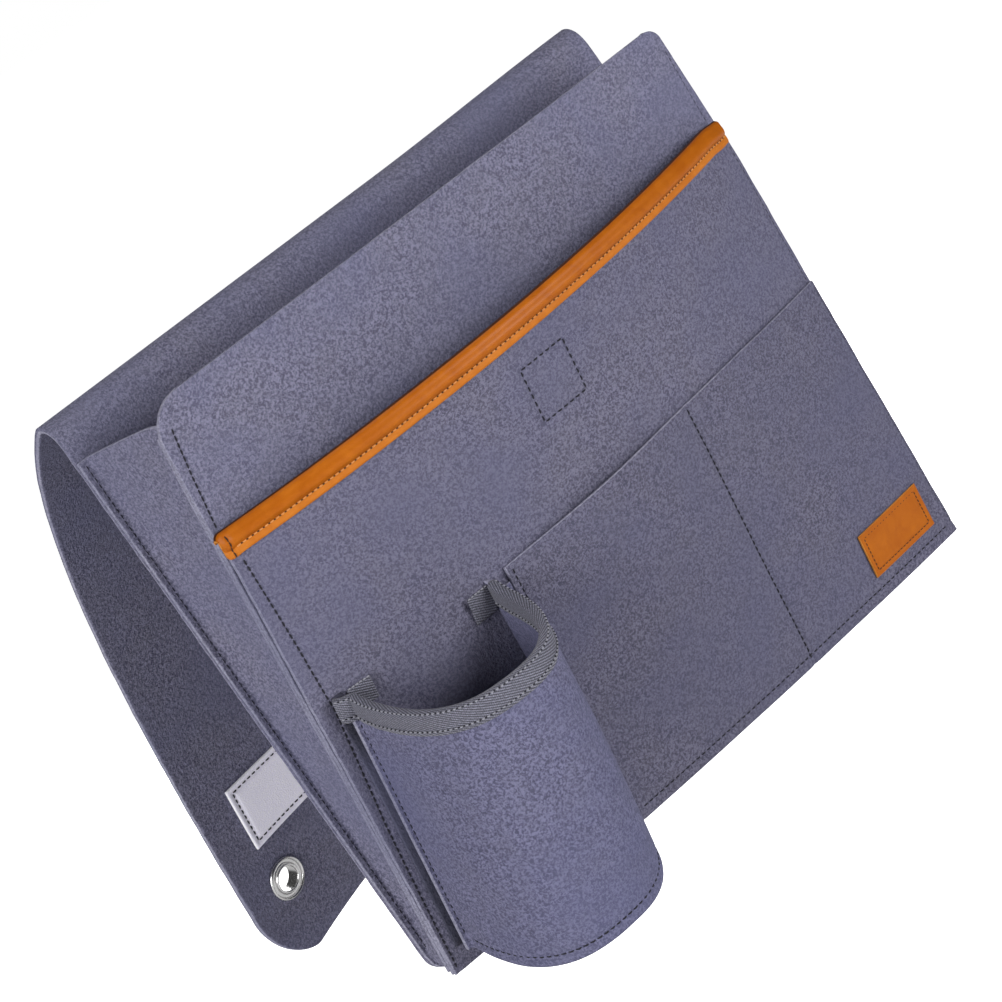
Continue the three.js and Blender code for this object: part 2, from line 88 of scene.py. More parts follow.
# The distance along a line at each of its points.
def runs(points):
    lengths = [0.0]
    for a, b in zip(points, points[1:]):
        lengths.append(lengths[-1] + (b - a).length)
    return lengths


# The stretch of a line that a distance along it falls in, and how far into the stretch that is.
def stretchAt(lengths, along):
    i = min(max(bisect_right(lengths, along) - 1, 0), len(lengths) - 2)
    return i, (along - lengths[i]) / max(lengths[i + 1] - lengths[i], 1e-9)


def pointAt(points, lengths, along):
    i, t = stretchAt(lengths, along)
    return points[i].lerp(points[i + 1], t)


# Points of a line at even distances along it.
def resampled(points, count):
    lengths = runs(points)
    return [pointAt(points, lengths, lengths[-1] * k / count) for k in range(count + 1)]


# Rounds the corners of a line of points and keeps its ends.
def soften(points, passes):
    for _ in range(passes):
        inner = [(a + 2 * b + c) / 4 for a, b, c in zip(points, points[1:], points[2:])]
        points = [points[0], *inner, points[-1]]
    return points


# How far a round corner draws an edge in, at a distance past the corner's start.
def rounded(past, radius):
    return radius - math.sqrt(max(radius**2 - max(past, 0.0) ** 2, 0.0))


# The four sides of a box, each as its two ends.
def boxSides(x0, x1, z0, z1):
    corners = [(x0, z1), (x1, z1), (x1, z0), (x0, z0)]
    return zip(corners, corners[1:] + corners[:1])


# Shader nodes and groups

# Adds a node, sets its options, and gives each input a value or links it to a socket.
def addNode(tree, kind, inputs, **options):
    node = tree.nodes.new("ShaderNode" + kind)
    for key, value in options.items():
        setattr(node, key, value)
    for key, value in inputs.items():
        if isinstance(value, (int, float, tuple)):
            node.inputs[key].default_value = value
        else:
            tree.links.new(value, node.inputs[key])
    return node


def noiseNode(tree, vector, scale, detail=2.0, roughness=0.5, distortion=0.0):
    inputs = {"Vector": vector, "Scale": scale, "Detail": detail, "Roughness": roughness}
    return addNode(tree, "TexNoise", inputs | {"Distortion": distortion}).outputs["Fac"]


def voronoiNode(tree, vector, scale, feature="F1"):
    inputs = {"Vector": vector, "Scale": scale}
    return addNode(tree, "TexVoronoi", inputs, feature=feature).outputs["Distance"]


def mathNode(tree, operation, a, b=0.0, clamp=False):
    return addNode(tree, "Math", {0: a, 1: b}, operation=operation, use_clamp=clamp).outputs[0]


# Two values, each taken by its share and added up.
def weighted(tree, a, aShare, b, bShare, clamp=False):
    parts = [mathNode(tree, "MULTIPLY", value, share) for value, share in ((a, aShare), (b, bShare))]
    return mathNode(tree, "ADD", *parts, clamp)


def rangeNode(tree, value, low, high, toLow=0.0, toHigh=1.0):
    inputs = {"Value": value, "From Min": low, "From Max": high, "To Min": toLow, "To Max": toHigh}
    return addNode(tree, "MapRange", inputs).outputs["Result"]


def mixColour(tree, factor, a, b):
    factorInput, aInput, bInput, colourOutput = 0, 6, 7, 2  # the mix node's sockets for colours
    inputs = {factorInput: factor, aInput: a, bInput: b}
    return addNode(tree, "Mix", inputs, data_type="RGBA").outputs[colourOutput]


def stretched(tree, vector, scale):
    return addNode(tree, "Mapping", {"Vector": vector, "Scale": scale}).outputs["Vector"]


# A group that takes a place and the given values. Colours are tuples of four numbers.
def newGroup(name, outputs, **inputs):
    tree = bpy.data.node_groups.new(name, "ShaderNodeTree")
    tree.interface.new_socket("Place", in_out="INPUT", socket_type="NodeSocketVector")
    for label, value in inputs.items():
        kind = "NodeSocketColor" if isinstance(value, tuple) else "NodeSocketFloat"
        socket = tree.interface.new_socket(label.replace("_", " "), in_out="INPUT", socket_type=kind)
        socket.default_value = value
    for label in outputs:
        kind = "NodeSocketColor" if label == "Colour" else "NodeSocketFloat"
        tree.interface.new_socket(label, in_out="OUTPUT", socket_type=kind)
    given, out = tree.nodes.new("NodeGroupInput"), tree.nodes.new("NodeGroupOutput")

    def put(label, value):
        tree.links.new(value, out.inputs[label])

    return tree, given.outputs, put


# Heathered felt: pale and dark fibres pressed together, with soft patches and a few bright flecks.
def makeFeltGroup():
    tree, given, put = newGroup(
        "feltFibres", ("Colour", "Height"), Light=(0.2, 0.2, 0.28, 1), Dark=(0.1, 0.1, 0.15, 1),
        Patch=(0.14, 0.14, 0.18, 1), Patchiness=0.3, Cloud=(0.13, 0.13, 0.2, 1),
    )
    at = given["Place"]
    grain = noiseNode(tree, at, 880, 2, 0.6, 0.6)
    lengthwise = noiseNode(tree, stretched(tree, at, (2000, 800, 800)), 1, 2, 0.5, 0.8)
    crosswise = noiseNode(tree, stretched(tree, at, (700, 800, 2000)), 1, 2, 0.5, 0.8)
    fibres = mathNode(tree, "MAXIMUM", lengthwise, crosswise)
    mixed = weighted(tree, grain, 0.7, fibres, 0.3)
    base = mixColour(tree, rangeNode(tree, mixed, 0.44, 0.59), given["Dark"], given["Light"])
    blotch = rangeNode(tree, noiseNode(tree, at, 75, 3, 0.55, 0.4), 0.38, 0.66)
    patch = mathNode(tree, "MULTIPLY", blotch, given["Patchiness"])
    toned = mixColour(tree, patch, base, given["Patch"])
    cloud = rangeNode(tree, noiseNode(tree, at, 17, 2, 0.5, 0.3), 0.36, 0.66, 0.0, 0.48)
    clouded = mixColour(tree, cloud, toned, given["Cloud"])
    fleck = rangeNode(tree, noiseNode(tree, at, 1300, 1, 0.4), 0.72, 0.8, 0.0, 0.3)
    put("Colour", mixColour(tree, fleck, clouded, (0.32, 0.32, 0.4, 1)))
    pebbles = noiseNode(tree, at, 760, 2, 0.55, 0.4)
    put("Height", weighted(tree, mixed, 0.5, pebbles, 0.7))
    return tree


# Smooth leather: fine pebbles, cloudy dye and rubbed patches.
def makeLeatherGroup():
    tree, given, put = newGroup(
        "leatherGrain", ("Colour", "Roughness", "Height"), Dye=(0.6, 0.2, 0.02, 1),
        Deep_dye=(0.4, 0.11, 0.01, 1), Pebble_scale=1500.0,
    )
    at = given["Place"]
    cloud = noiseNode(tree, at, 120, 4, 0.6, 0.5)
    pebbles = voronoiNode(tree, at, given["Pebble scale"], "DISTANCE_TO_EDGE")
    creases = rangeNode(tree, pebbles, 0.0, 0.12)
    deep = rangeNode(tree, cloud, 0.35, 0.72, 0.7, 0.0)
    dyed = mixColour(tree, deep, given["Dye"], given["Deep dye"])
    put("Colour", mixColour(tree, rangeNode(tree, creases, 0, 1, 0.22, 0.0), dyed, given["Deep dye"]))
    put("Roughness", rangeNode(tree, cloud, 0.3, 0.7, 0.36, 0.5))
    put("Height", weighted(tree, creases, 0.5, cloud, 0.8))
    return tree


# Woven tape: slanting ribs along the tape, crossed by finer yarns. Place is in millimetres,
# along and across.
def makeTwillGroup():
    tree, given, put = newGroup(
        "twillRibs", ("Colour", "Height"), Rib=(0.1, 0.1, 0.12, 1), Groove=(0.02, 0.02, 0.03, 1),
        Rib_pitch=1.1,
    )
    along, across, _ = addNode(tree, "SeparateXYZ", {0: given["Place"]}).outputs
    slant = weighted(tree, along, 0.42, across, 0.91)
    turns = mathNode(tree, "MULTIPLY", mathNode(tree, "DIVIDE", slant, given["Rib pitch"]), 2 * math.pi)
    rib = rangeNode(tree, mathNode(tree, "SINE", turns), -1, 1)
    cross = mathNode(tree, "SINE", mathNode(tree, "MULTIPLY", along, 2 * math.pi / 0.75))
    height = weighted(tree, rib, 0.8, rangeNode(tree, cross, -1, 1), 0.25)
    worn = rangeNode(tree, noiseNode(tree, given["Place"], 1.4, 3, 0.6), 0.34, 0.66, 0.3, 1.1)
    lit = mathNode(tree, "MULTIPLY", height, worn, True)
    put("Colour", mixColour(tree, lit, given["Groove"], given["Rib"]))
    put("Height", height)
    return tree


feltGroup = makeFeltGroup()
leatherGroup = makeLeatherGroup()
twillGroup = makeTwillGroup()
print("shader groups made")


# Materials

def newMaterial(name, roughness, **sockets):
    material = bpy.data.materials.new(name)
    material.use_nodes = True
    tree = material.node_tree
    shader = next(node for node in tree.nodes if node.type == "BSDF_PRINCIPLED")
    shader.inputs["Roughness"].default_value = roughness
    for label, value in sockets.items():
        shader.inputs[label.replace("_", " ")].default_value = value

    def wear(label, value):
        tree.links.new(value, shader.inputs[label])

    return material, tree, wear


def objectPlace(tree):
    return tree.nodes.new("ShaderNodeTexCoord").outputs["Object"]


def groupNode(tree, group, place, **values):
    inputs = {label.replace("_", " "): value for label, value in values.items()}
    return addNode(tree, "Group", {"Place": place} | inputs, node_tree=group).outputs


def bumpNode(tree, height, strength, distance):
    inputs = {"Strength": strength, "Distance": distance, "Height": height}
    return addNode(tree, "Bump", inputs).outputs["Normal"]


feltLook = {
    "body": {"light": (0.212, 0.207, 0.297), "dark": (0.086, 0.084, 0.13), "patch": (0.165, 0.16, 0.2)},
    "edge": {"light": (0.32, 0.315, 0.41), "dark": (0.17, 0.167, 0.225)},
    "paleEdge": {"light": (0.36, 0.352, 0.45), "dark": (0.2, 0.196, 0.26)},
    # painted shade: near-black felt for the cup's left flange, in the groove's shadow
    "groove": {"light": (0.045, 0.044, 0.06), "dark": (0.018, 0.018, 0.026)},
    "cloud": (0.132, 0.135, 0.225),
    "pocketShadeTint": (0.83, 0.82, 0.82),  # painted shade: the trim pocket's felt is darkened, as the light falls off lower down
    # painted shade: the lower pockets' felt is darkened more, as the light falls off towards the bottom
    "lowerShadeTint": (0.74, 0.73, 0.73),
    # another cut of the felt, darker and bluer
    "cupTint": (0.82, 0.83, 0.92),
}


def feltMaterial(name, kind="body", tint=(1, 1, 1)):
    look = feltLook[kind]
    patchiness, bump = (0.2, 1.0) if kind == "body" else (0.3, 0.8)
    colours = (look["light"], look["dark"], look.get("patch", look["light"]), feltLook["cloud"])
    light, dark, patch, cloud = [tuple(a * b for a, b in zip(c, tint)) + (1,) for c in colours]
    material, tree, wear = newMaterial(
        name, 0.95, Specular_IOR_Level=0.1, Sheen_Weight=0.05, Sheen_Roughness=0.55,
        Sheen_Tint=(0.75, 0.76, 0.9, 1),
    )
    fibres = groupNode(
        tree, feltGroup, objectPlace(tree), Light=light, Dark=dark, Patch=patch, Cloud=cloud,
        Patchiness=patchiness,
    )
    wear("Base Color", fibres["Colour"])
    wear("Normal", bumpNode(tree, fibres["Height"], bump, 0.0009))
    return material


felt = feltMaterial("heatheredFelt")
# the two pocket felts are darkened by their tints, which are painted shade
pocketFelt = feltMaterial("pocketShadedHeatheredFelt", tint=feltLook["pocketShadeTint"])
lowerShadedFelt = feltMaterial("lowerShadedHeatheredFelt", tint=feltLook["lowerShadeTint"])
cupFelt = feltMaterial("cupHeatheredFelt", tint=feltLook["cupTint"])
feltEdge = feltMaterial("rawFeltEdge", "edge")
paleEdge = feltMaterial("paleFeltEdge", "paleEdge")
shadedFeltGroove = feltMaterial("paintedShadeFeltGroove", "groove")

leatherLook = {  # dye, deep dye, pebble scale, bump and coat
    "tanLeather": ((0.43, 0.117, 0.004, 1), (0.32, 0.073, 0.002, 1), 1300.0, 0.25, 0.1),
    "cutLeatherEdge": ((0.62, 0.26, 0.05, 1), (0.42, 0.15, 0.022, 1), 2200.0, 0.5, 0.0),
    # a lighter leather for the lip below the trim's stitches
    "lighterLeatherLip": ((0.54, 0.175, 0.02, 1), (0.42, 0.115, 0.008, 1), 1500.0, 0.5, 0.05),
    # painted shade: a near-black brown for the strip behind the fold, which shows as the trim's shadowed
    # top edge
    "shadedLeatherRear": ((0.09, 0.026, 0.004, 1), (0.05, 0.013, 0.002, 1), 1500.0, 0.4, 0.0),
}


def leatherMaterial(name):
    dye, deepDye, pebbleScale, bump, coat = leatherLook[name]
    material, tree, wear = newMaterial(
        name, 0.42, Specular_IOR_Level=0.12, Coat_Weight=coat, Coat_Roughness=0.3
    )
    grain = groupNode(
        tree, leatherGroup, objectPlace(tree), Dye=dye, Deep_dye=deepDye, Pebble_scale=pebbleScale
    )
    wear("Base Color", grain["Colour"])
    wear("Roughness", grain["Roughness"])
    wear("Normal", bumpNode(tree, grain["Height"], bump, 0.00025))
    return material


leather, leatherEdge, leatherLip, shadedLeatherRear = map(leatherMaterial, leatherLook)

threadLook = {  # pale and deep colour
    "navyThread": ((0.014, 0.014, 0.026, 1), (0.003, 0.003, 0.007, 1)),
    "peachThread": ((0.72, 0.36, 0.12, 1), (0.45, 0.16, 0.035, 1)),
    "brownThread": ((0.06, 0.018, 0.004, 1), (0.018, 0.006, 0.002, 1)),
    "paleThread": ((0.42, 0.42, 0.48, 1), (0.16, 0.16, 0.19, 1)),
}


def threadMaterial(name):
    pale, deep = threadLook[name]
    material, tree, wear = newMaterial(name, 0.7, Specular_IOR_Level=0.3, Sheen_Weight=0.1)
    twist = noiseNode(tree, objectPlace(tree), 2600, 2, 0.6)
    wear("Base Color", mixColour(tree, twist, deep, pale))
    wear("Normal", bumpNode(tree, twist, 0.5, 0.0002))
    return material


navyThread, peachThread, brownThread, paleThread = map(threadMaterial, threadLook)

tapeLook = {"rib": (0.285, 0.285, 0.365, 1), "groove": (0.017, 0.017, 0.026, 1), "ribPitch": 1.05}


def tapeMaterial():
    material, tree, wear = newMaterial(
        "ribbedTape", 0.62, Specular_IOR_Level=0.4, Sheen_Weight=0.15, Sheen_Roughness=0.4
    )
    flat = addNode(tree, "UVMap", {}, uv_map="alongTape").outputs["UV"]
    weave = groupNode(
        tree, twillGroup, flat, Rib=tapeLook["rib"], Groove=tapeLook["groove"],
        Rib_pitch=tapeLook["ribPitch"],
    )
    wear("Base Color", weave["Colour"])
    wear("Normal", bumpNode(tree, weave["Height"], 0.7, 0.0004))
    return material


hookLook = {  # pale colour, deep colour and the scale of the hooks
    "hookTape": ((0.98, 0.96, 1.0, 1), (0.86, 0.83, 1.0, 1), 1500),
    "hookTapeEdge": ((0.97, 0.97, 0.98, 1), (0.8, 0.8, 0.86, 1), 1600),
    "loopPile": ((0.6, 0.6, 0.7, 1), (0.36, 0.36, 0.46, 1), 1500),
}


def hookMaterial(name):
    pale, deep, scale = hookLook[name]
    material, tree, wear = newMaterial(
        name, 0.6, Specular_IOR_Level=0.3, Sheen_Weight=0.1, Sheen_Roughness=0.4
    )
    at = objectPlace(tree)
    tips = rangeNode(tree, voronoiNode(tree, at, scale), 0.1, 0.6, 1.0, 0.0)
    lines = noiseNode(tree, stretched(tree, at, (260, 1500, 1500)), 1, 2, 0.5)
    lit = weighted(tree, tips, 0.55, lines, 0.5, True)
    wear("Base Color", mixColour(tree, lit, deep, pale))
    wear("Normal", bumpNode(tree, lit, 0.35, 0.0004))
    return material


def metalMaterial():
    material, tree, wear = newMaterial("polishedNickel", 0.2, Metallic=1.0)
    at = objectPlace(tree)
    rubbed = noiseNode(tree, at, 420, 4, 0.65, 0.5)
    scratches = noiseNode(tree, stretched(tree, at, (3200, 180, 1400)), 1, 2, 0.5)
    worn = weighted(tree, rubbed, 0.6, scratches, 0.4)
    wear("Roughness", rangeNode(tree, worn, 0.3, 0.7, 0.14, 0.32))
    wear("Base Color", mixColour(tree, worn, (0.58, 0.58, 0.6, 1), (0.8, 0.79, 0.77, 1)))
    wear("Normal", bumpNode(tree, scratches, 0.12, 0.0001))
    return material


ribbedTape = tapeMaterial()
hookFace, hookEdge, loopFace = map(hookMaterial, hookLook)
nickel = metalMaterial()
print("materials made")


# Mesh helpers

def meshPiece(name, points, faces, materials, slots=None, places=None):
    mesh = bpy.data.meshes.new(name)
    mesh.from_pydata([tuple(p) for p in points], [], faces)
    for material in materials:
        mesh.materials.append(material)
    if slots:
        mesh.polygons.foreach_set("material_index", slots)
    if places:
        flat = mesh.uv_layers.new(name="alongTape")
        for loop in mesh.loops:
            flat.data[loop.index].uv = places[loop.vertex_index]
    work = bmesh.new()
    work.from_mesh(mesh)
    bmesh.ops.recalc_face_normals(work, faces=work.faces)
    work.to_mesh(mesh)
    work.free()
    mesh.shade_smooth()
    piece = bpy.data.objects.new(name, mesh)
    scene.collection.objects.link(piece)
    return piece


# A sheet between two grids of points, with a soft round cut edge all the way round. The numbers
# of rim choose the material of the edge's four strips, from the face to the back.
def sheetPiece(name, face, back, materials, bulge=0.35, places=None, rim=(1, 1, 1, 1)):
    rows, columns = len(face), len(face[0])
    count = rows * columns
    points = [p for row in face for p in row] + [p for row in back for p in row]
    spots = [p for row in places for p in row] * 2 if places else None
    faces = []
    for r in range(rows - 1):
        for c in range(columns - 1):
            a = r * columns + c
            b = a + columns
            faces.append((a, a + 1, b + 1, b))
            faces.append((count + b, count + b + 1, count + a + 1, count + a))
    slots = [0] * len(faces)
    border = [(0, c) for c in range(columns)]
    border += [(r, columns - 1) for r in range(1, rows)]
    border += [(rows - 1, c) for c in range(columns - 2, -1, -1)]
    border += [(r, 0) for r in range(rows - 2, 0, -1)]
    rings = []
    for r, c in border:
        front, rear = face[r][c], back[r][c]
        outward = Vector()
        if r in (0, rows - 1):
            outward += (front - face[1 if r == 0 else rows - 2][c]).normalized()
        if c in (0, columns - 1):
            outward += (front - face[r][1 if c == 0 else columns - 2]).normalized()
        outward.normalize()
        ring = [r * columns + c]
        for t in (0.2, 0.5, 0.8):
            swell = bulge / 1000 * math.sqrt(1 - (2 * t - 1) ** 2)
            points.append(front.lerp(rear, t) + outward * swell)
            ring.append(len(points) - 1)
            if spots:
                spots.append(places[r][c])
        rings.append(ring + [count + r * columns + c])
    for one, two in zip(rings, rings[1:] + rings[:1]):
        for j, slot in enumerate(rim):
            faces.append((one[j], one[j + 1], two[j + 1], two[j]))
            slots.append(slot)
    return meshPiece(name, points, faces, materials, slots, spots)


# Says which body a piece moves with and which solids it stands for. The slot it is given is not used.
def seat(piece, body, slot, *nodes):
    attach(piece, body)
    if nodes:
        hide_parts(*nodes)
    return piece


# Sewing thread: a row of separate stitches, each dipping into the cloth at both ends.
# A path is a list of points with the surface's normal there. In the pieces' dictionaries,
# a stitch is its pitch, length, radius and lift.
def sew(store, path, pitch=3.3, length=2.35, radius=0.36, lift=0.35, phase=0.0):
    lengths = [run * 1000 for run in runs([point for point, _ in path])]
    total = lengths[-1]
    count = max(1, int(round(total / pitch)))
    step = total / count
    rings, sides = 6, 6
    points, faces = store["points"], store["faces"]
    for k in range(count - 1 if phase else count):
        start = (k + phase) * step + (step - length) / 2
        base = len(points)
        for t in even(0, 1, rings - 1):
            i, part = stretchAt(lengths, min(max(start + t * length, 0.0), total))
            (a, m), (b, n) = path[i], path[i + 1]
            normal = m.lerp(n, part).normalized()
            side = (b - a).normalized().cross(normal).normalized()
            hump = math.sin(math.pi * t)
            rise = radius * (lift + 1.15 * hump - 0.85)
            thick = radius * (0.78 + 0.22 * hump)
            for j in range(sides):
                turn = 2 * math.pi * j / sides
                ring = normal * (rise + thick * math.sin(turn)) + side * (thick * math.cos(turn))
                points.append(a.lerp(b, part) + ring / 1000)
        for i in range(rings - 1):
            for j in range(sides):
                a = base + i * sides + j
                b = base + i * sides + (j + 1) % sides
                faces.append((a, b, b + sides, a + sides))
        faces.append(tuple(base + j for j in range(sides - 1, -1, -1)))
        faces.append(tuple(base + (rings - 1) * sides + j for j in range(sides)))


def newStore():
    return {"points": [], "faces": []}


def threadPiece(name, store, material, body, slot):
    piece = meshPiece(name, store["points"], store["faces"], [material])
    return seat(piece, body, slot)


# The sewn box: sizes that all pieces of its front share, in millimetres
sewnBox = {
    "bottomWidth": 330.0,
    "topWidth": 300.0,
    "height": 278.0,
    "bottomDepth": 18.0,
    "topDepth": 60.0,
    "bottomBow": 8.0,
    "topBow": 5.0,
    "panelFelt": 3.0,
    "pocketFelt": 2.4,
    "layerGap": 0.12,
    "bottomSeam": 5.0,
    "seamDent": 0.5,
    "unevenness": 0.7,
    "unevenRun": 55.0,
    "edgeWander": 0.3,
    "wanderRun": 8.0,
    "cornerLift": 2.0,  # the lower left corner is sewn a little high
    "cornerLiftFrom": 70.0,
    "cornerLiftRun": 95.0,
    "cornerLiftHeight": 60.0,
}
topHalf = sewnBox["topWidth"] / 2


def uneven(x, z):
    run = sewnBox["unevenRun"]
    return sewnBox["unevenness"] * noise.noise(Vector((x / run, z / run, 3.7)))


def wander(s, seed):
    return sewnBox["edgeWander"] * noise.noise(Vector((s / sewnBox["wanderRun"], seed, 1.3)))


def frontWidth(z):
    return lerp(sewnBox["bottomWidth"], sewnBox["topWidth"], z / sewnBox["height"])


def crown(x, z):
    return max(0.0, 1 - (2 * x / frontWidth(z)) ** 2)


def frontFace(x, z):
    up = z / sewnBox["height"]
    bow = lerp(sewnBox["bottomBow"], sewnBox["topBow"], up) * crown(x, z)
    return -lerp(sewnBox["bottomDepth"], sewnBox["topDepth"], up) - bow + uneven(x, z)


def frontInner(x, z):
    return frontFace(x, z) + sewnBox["panelFelt"]


# How far a row of stitches draws the cloth in, at a distance from it.
def dent(distance, depth=None, reach=1.5):
    return (depth or sewnBox["seamDent"]) * math.exp(-((distance / reach) ** 2))


# Side seams: how far in from the edge they run, as pairs of height and distance
sideSeam = {
    "frontLeft": ((222, 2.8), (246, 4.4), (268, 6.5)),
    "pocketLeft": ((0, 1.4), (25, 1.7), (75, 3.6), (130, 7.6), (160, 6.6), (216, 3.6)),
    "right": ((0, 3.5), (278, 3.5)),
    "rightDent": 0.2,
    "pitch": 3.1,
    "stitch": 2.5,
    "leftThread": 0.42,
    "rightThread": 0.13,  # hardly seen
}


def seamInset(line, z):
    spots = sideSeam[line]
    for (low, a), (high, b) in zip(spots, spots[1:]):
        if z <= high:
            return lerp(a, b, max(0.0, (z - low) / (high - low)))
    return spots[-1][1]


def seamX(line, z):
    side = 1 if line == "right" else -1
    return side * (frontWidth(z) / 2 - seamInset(line, z))


def sideDent(x, z, left):
    return dent(x - seamX(left, z)) + dent(x - seamX("right", z), sideSeam["rightDent"])


def bottomDent(z):
    return dent(z - sewnBox["bottomSeam"])


# How far the lower left corner is lifted at x; raised() gives a height after it, less and less upwards.
def cornerRise(x):
    return sewnBox["cornerLift"] * smooth((-x - sewnBox["cornerLiftFrom"]) / sewnBox["cornerLiftRun"])


def raised(x, z):
    return z + cornerRise(x) * smooth(1 - z / sewnBox["cornerLiftHeight"])


def facePath(surface, spots):
    path = []
    h = 0.4
    for x, z in spots:
        slopeX = (surface(x + h, z) - surface(x - h, z)) / (2 * h)
        slopeZ = (surface(x, z + h) - surface(x, z - h)) / (2 * h)
        path.append((place(x, surface(x, z), z), Vector((slopeX, -1, slopeZ)).normalized()))
    return path


def straightSpots(start, end, step=1.0):
    (x0, z0), (x1, z1) = start, end
    count = max(2, int(math.hypot(x1 - x0, z1 - z0) / step))
    return [(lerp(x0, x1, i / count), lerp(z0, z1, i / count)) for i in range(count + 1)]


# One row of stitches on a surface between two points.
def sewLine(store, surface, start, end, *stitch):
    sew(store, facePath(surface, straightSpots(start, end)), *stitch)


# Grids of points over the same columns and rows, one on each surface.
def surfaceGrids(columns, rows, *surfaces):
    return [[[place(x, surface(x, z), z) for x in columns] for z in rows] for surface in surfaces]


# A panel of the front: rows of heights, each with a left and a right edge, between two surfaces.
# Its top may differ along x, and one column, given by a function of z and a share, keeps to that line.
def panelGrids(heights, shares, edges, face, inner, topAt=None, keep=None):
    def column(z, share):
        left, right = edges(z)
        if keep is None:
            return lerp(left, right, share)
        line, part = keep
        x = line(z)
        return lerp(left, x, share / part) if share < part else lerp(x, right, (share - part) / (1 - part))

    grids = ([], [])
    for z in heights:
        for grid, surface in zip(grids, (face, inner)):
            row = []
            for share in shares:
                x = column(z, share)
                up = raised(x, z * topAt(x) / heights[-1] if topAt else z)
                row.append(place(x, surface(x, up), up))
            grid.append(row)
    return grids


def sharesOf(start, end, lines, **steps):
    return [(x - start) / (end - start) for x in spaced(start, end, lines, **steps)]


frontThread = newStore()
tanThread = newStore()
trimThread = newStore()


# Front panel
frontPanel = {
    "leftCorner": 16.0,
    "rightCorner": 6.5,
    "rightLean": 2.0,
    "leanFrom": 222.0,
    "seamTop": 266.0,
}


def frontEdges(z):
    top, half = sewnBox["height"], frontWidth(z) / 2
    corners = frontPanel["leftCorner"], frontPanel["rightCorner"]
    left, right = [rounded(z - (top - corner), corner) for corner in corners]
    lean = frontPanel["rightLean"] * smooth((z - frontPanel["leanFrom"]) / (top - frontPanel["leanFrom"]))
    return -half + left + wander(z, 2.0), half - lean - right + wander(z, 5.0)


def frontPanelFace(x, z):
    return frontFace(x, z) + sideDent(x, z, "frontLeft") * smooth((frontPanel["seamTop"] + 3 - z) / 4)


def makeFrontPanel():
    top, corner = sewnBox["height"], frontPanel["leftCorner"]
    heights = spaced(0, top - corner, [0, sewnBox["bottomSeam"]], fine=1.2)[:-1]
    heights += [top - corner + corner * math.sin(math.pi / 2 * t) for t in even(0, 1, 16)]
    half = sewnBox["bottomWidth"] / 2
    shares = sharesOf(-half, half, [-half, -half + 5, -half + 8, half - 2, half])
    grids = panelGrids(heights, shares, frontEdges, frontPanelFace, frontInner)
    piece = sheetPiece("frontPanelFelt", *grids, [felt, feltEdge])
    seat(piece, "front", "felt", "front_panel")


makeFrontPanel()
print("front panel made")


# Trim pocket: the felt panel behind the leather trim, sewn with a square where its closure sits
trimPocket = {
    "height": 222.9,
    "tilt": 4.4,
    "dip": 0.9,
    "ease": 29.0,
    "room": 2.0,
    "square": 25.0,
    "squareDrop": 22.9,
    "squareDent": 0.4,
    "squareDentReach": 1.3,
    "squareStitch": (3.6, 2.4, 0.44),
    "rightDrop": 1.8,
    "rightDropFrom": 136.0,
    "rightDropRun": 16.0,
    "rightInsets": (1.2, 2.0),  # at the bottom and at the top
}
squareHalf = trimPocket["square"] / 2
squareTop = trimPocket["height"] - trimPocket["squareDrop"]
squareLow = squareTop - trimPocket["square"]


def trimTop(x):
    top = trimPocket["height"]
    end = trimPocket["rightDrop"] * smooth((x - trimPocket["rightDropFrom"]) / trimPocket["rightDropRun"])
    return top + trimPocket["tilt"] * x / topHalf - trimPocket["dip"] * crown(x, top) - end


def trimPocketInner(x, z):
    up = z / trimPocket["height"]
    loose = lerp(sewnBox["layerGap"], trimPocket["room"], up) + trimPocket["ease"] * up * crown(x, z)
    return frontFace(x, z) - loose


def trimPocketOuter(x, z):
    return trimPocketInner(x, z) - sewnBox["pocketFelt"]


def squareDent(x, z):
    dx, dz = abs(x) - squareHalf, abs(z - (squareTop - squareHalf)) - squareHalf
    distance = -max(dx, dz) if max(dx, dz) <= 0 else math.hypot(max(dx, 0), max(dz, 0))
    return dent(distance, trimPocket["squareDent"], trimPocket["squareDentReach"])


def trimPocketFace(x, z):
    return trimPocketOuter(x, z) + sideDent(x, z, "pocketLeft") + bottomDent(z) + squareDent(x, z)


def pocketEdges(z):
    half = frontWidth(z) / 2
    inset = lerp(*trimPocket["rightInsets"], z / trimPocket["height"])
    return -half + wander(z, 7.0), half - inset + wander(z, 9.0)


def makeTrimPocket():
    half, top = sewnBox["bottomWidth"] / 2, trimPocket["height"]
    heights = spaced(0, top, [0, sewnBox["bottomSeam"], squareLow, squareTop, top])
    lines = [-half, -half + 4, -half + 8, -squareHalf, squareHalf, half - 2, half]
    shares = sharesOf(-half, half, lines)
    grids = panelGrids(heights, shares, pocketEdges, trimPocketFace, trimPocketInner, trimTop)
    # its felt is darkened with painted shade
    piece = sheetPiece("trimPocketFelt", *grids, [pocketFelt, feltEdge])
    seat(piece, "front", "felt", "trim_pocket_panel")
    for start, end in boxSides(-squareHalf, squareHalf, squareLow, squareTop):
        sewLine(frontThread, trimPocketFace, start, end, *trimPocket["squareStitch"])


makeTrimPocket()
print("trim pocket made")


# Closure squares behind the sewn square: hooks on the pocket, loops on the front panel
closure = {"thick": 1.4, "cells": 12}


def makeClosure(name, node, material, near):
    def far(x, z):
        return near(x, z) + closure["thick"]

    columns = even(-squareHalf, squareHalf, closure["cells"])
    grids = surfaceGrids(columns, even(squareLow, squareTop, closure["cells"]), near, far)
    piece = sheetPiece(name, *grids, [material, hookEdge], 0.2)
    seat(piece, "front", "hook_and_loop", node)


def hooksNear(x, z):
    return trimPocketInner(x, z) + sewnBox["layerGap"]


def loopsNear(x, z):
    return frontFace(x, z) - sewnBox["layerGap"] - closure["thick"]


makeClosure("closureHooks", "closure_hook_patch", hookFace, hooksNear)
makeClosure("closureLoops", "closure_loop_patch", loopFace, loopsNear)
print("closure made")


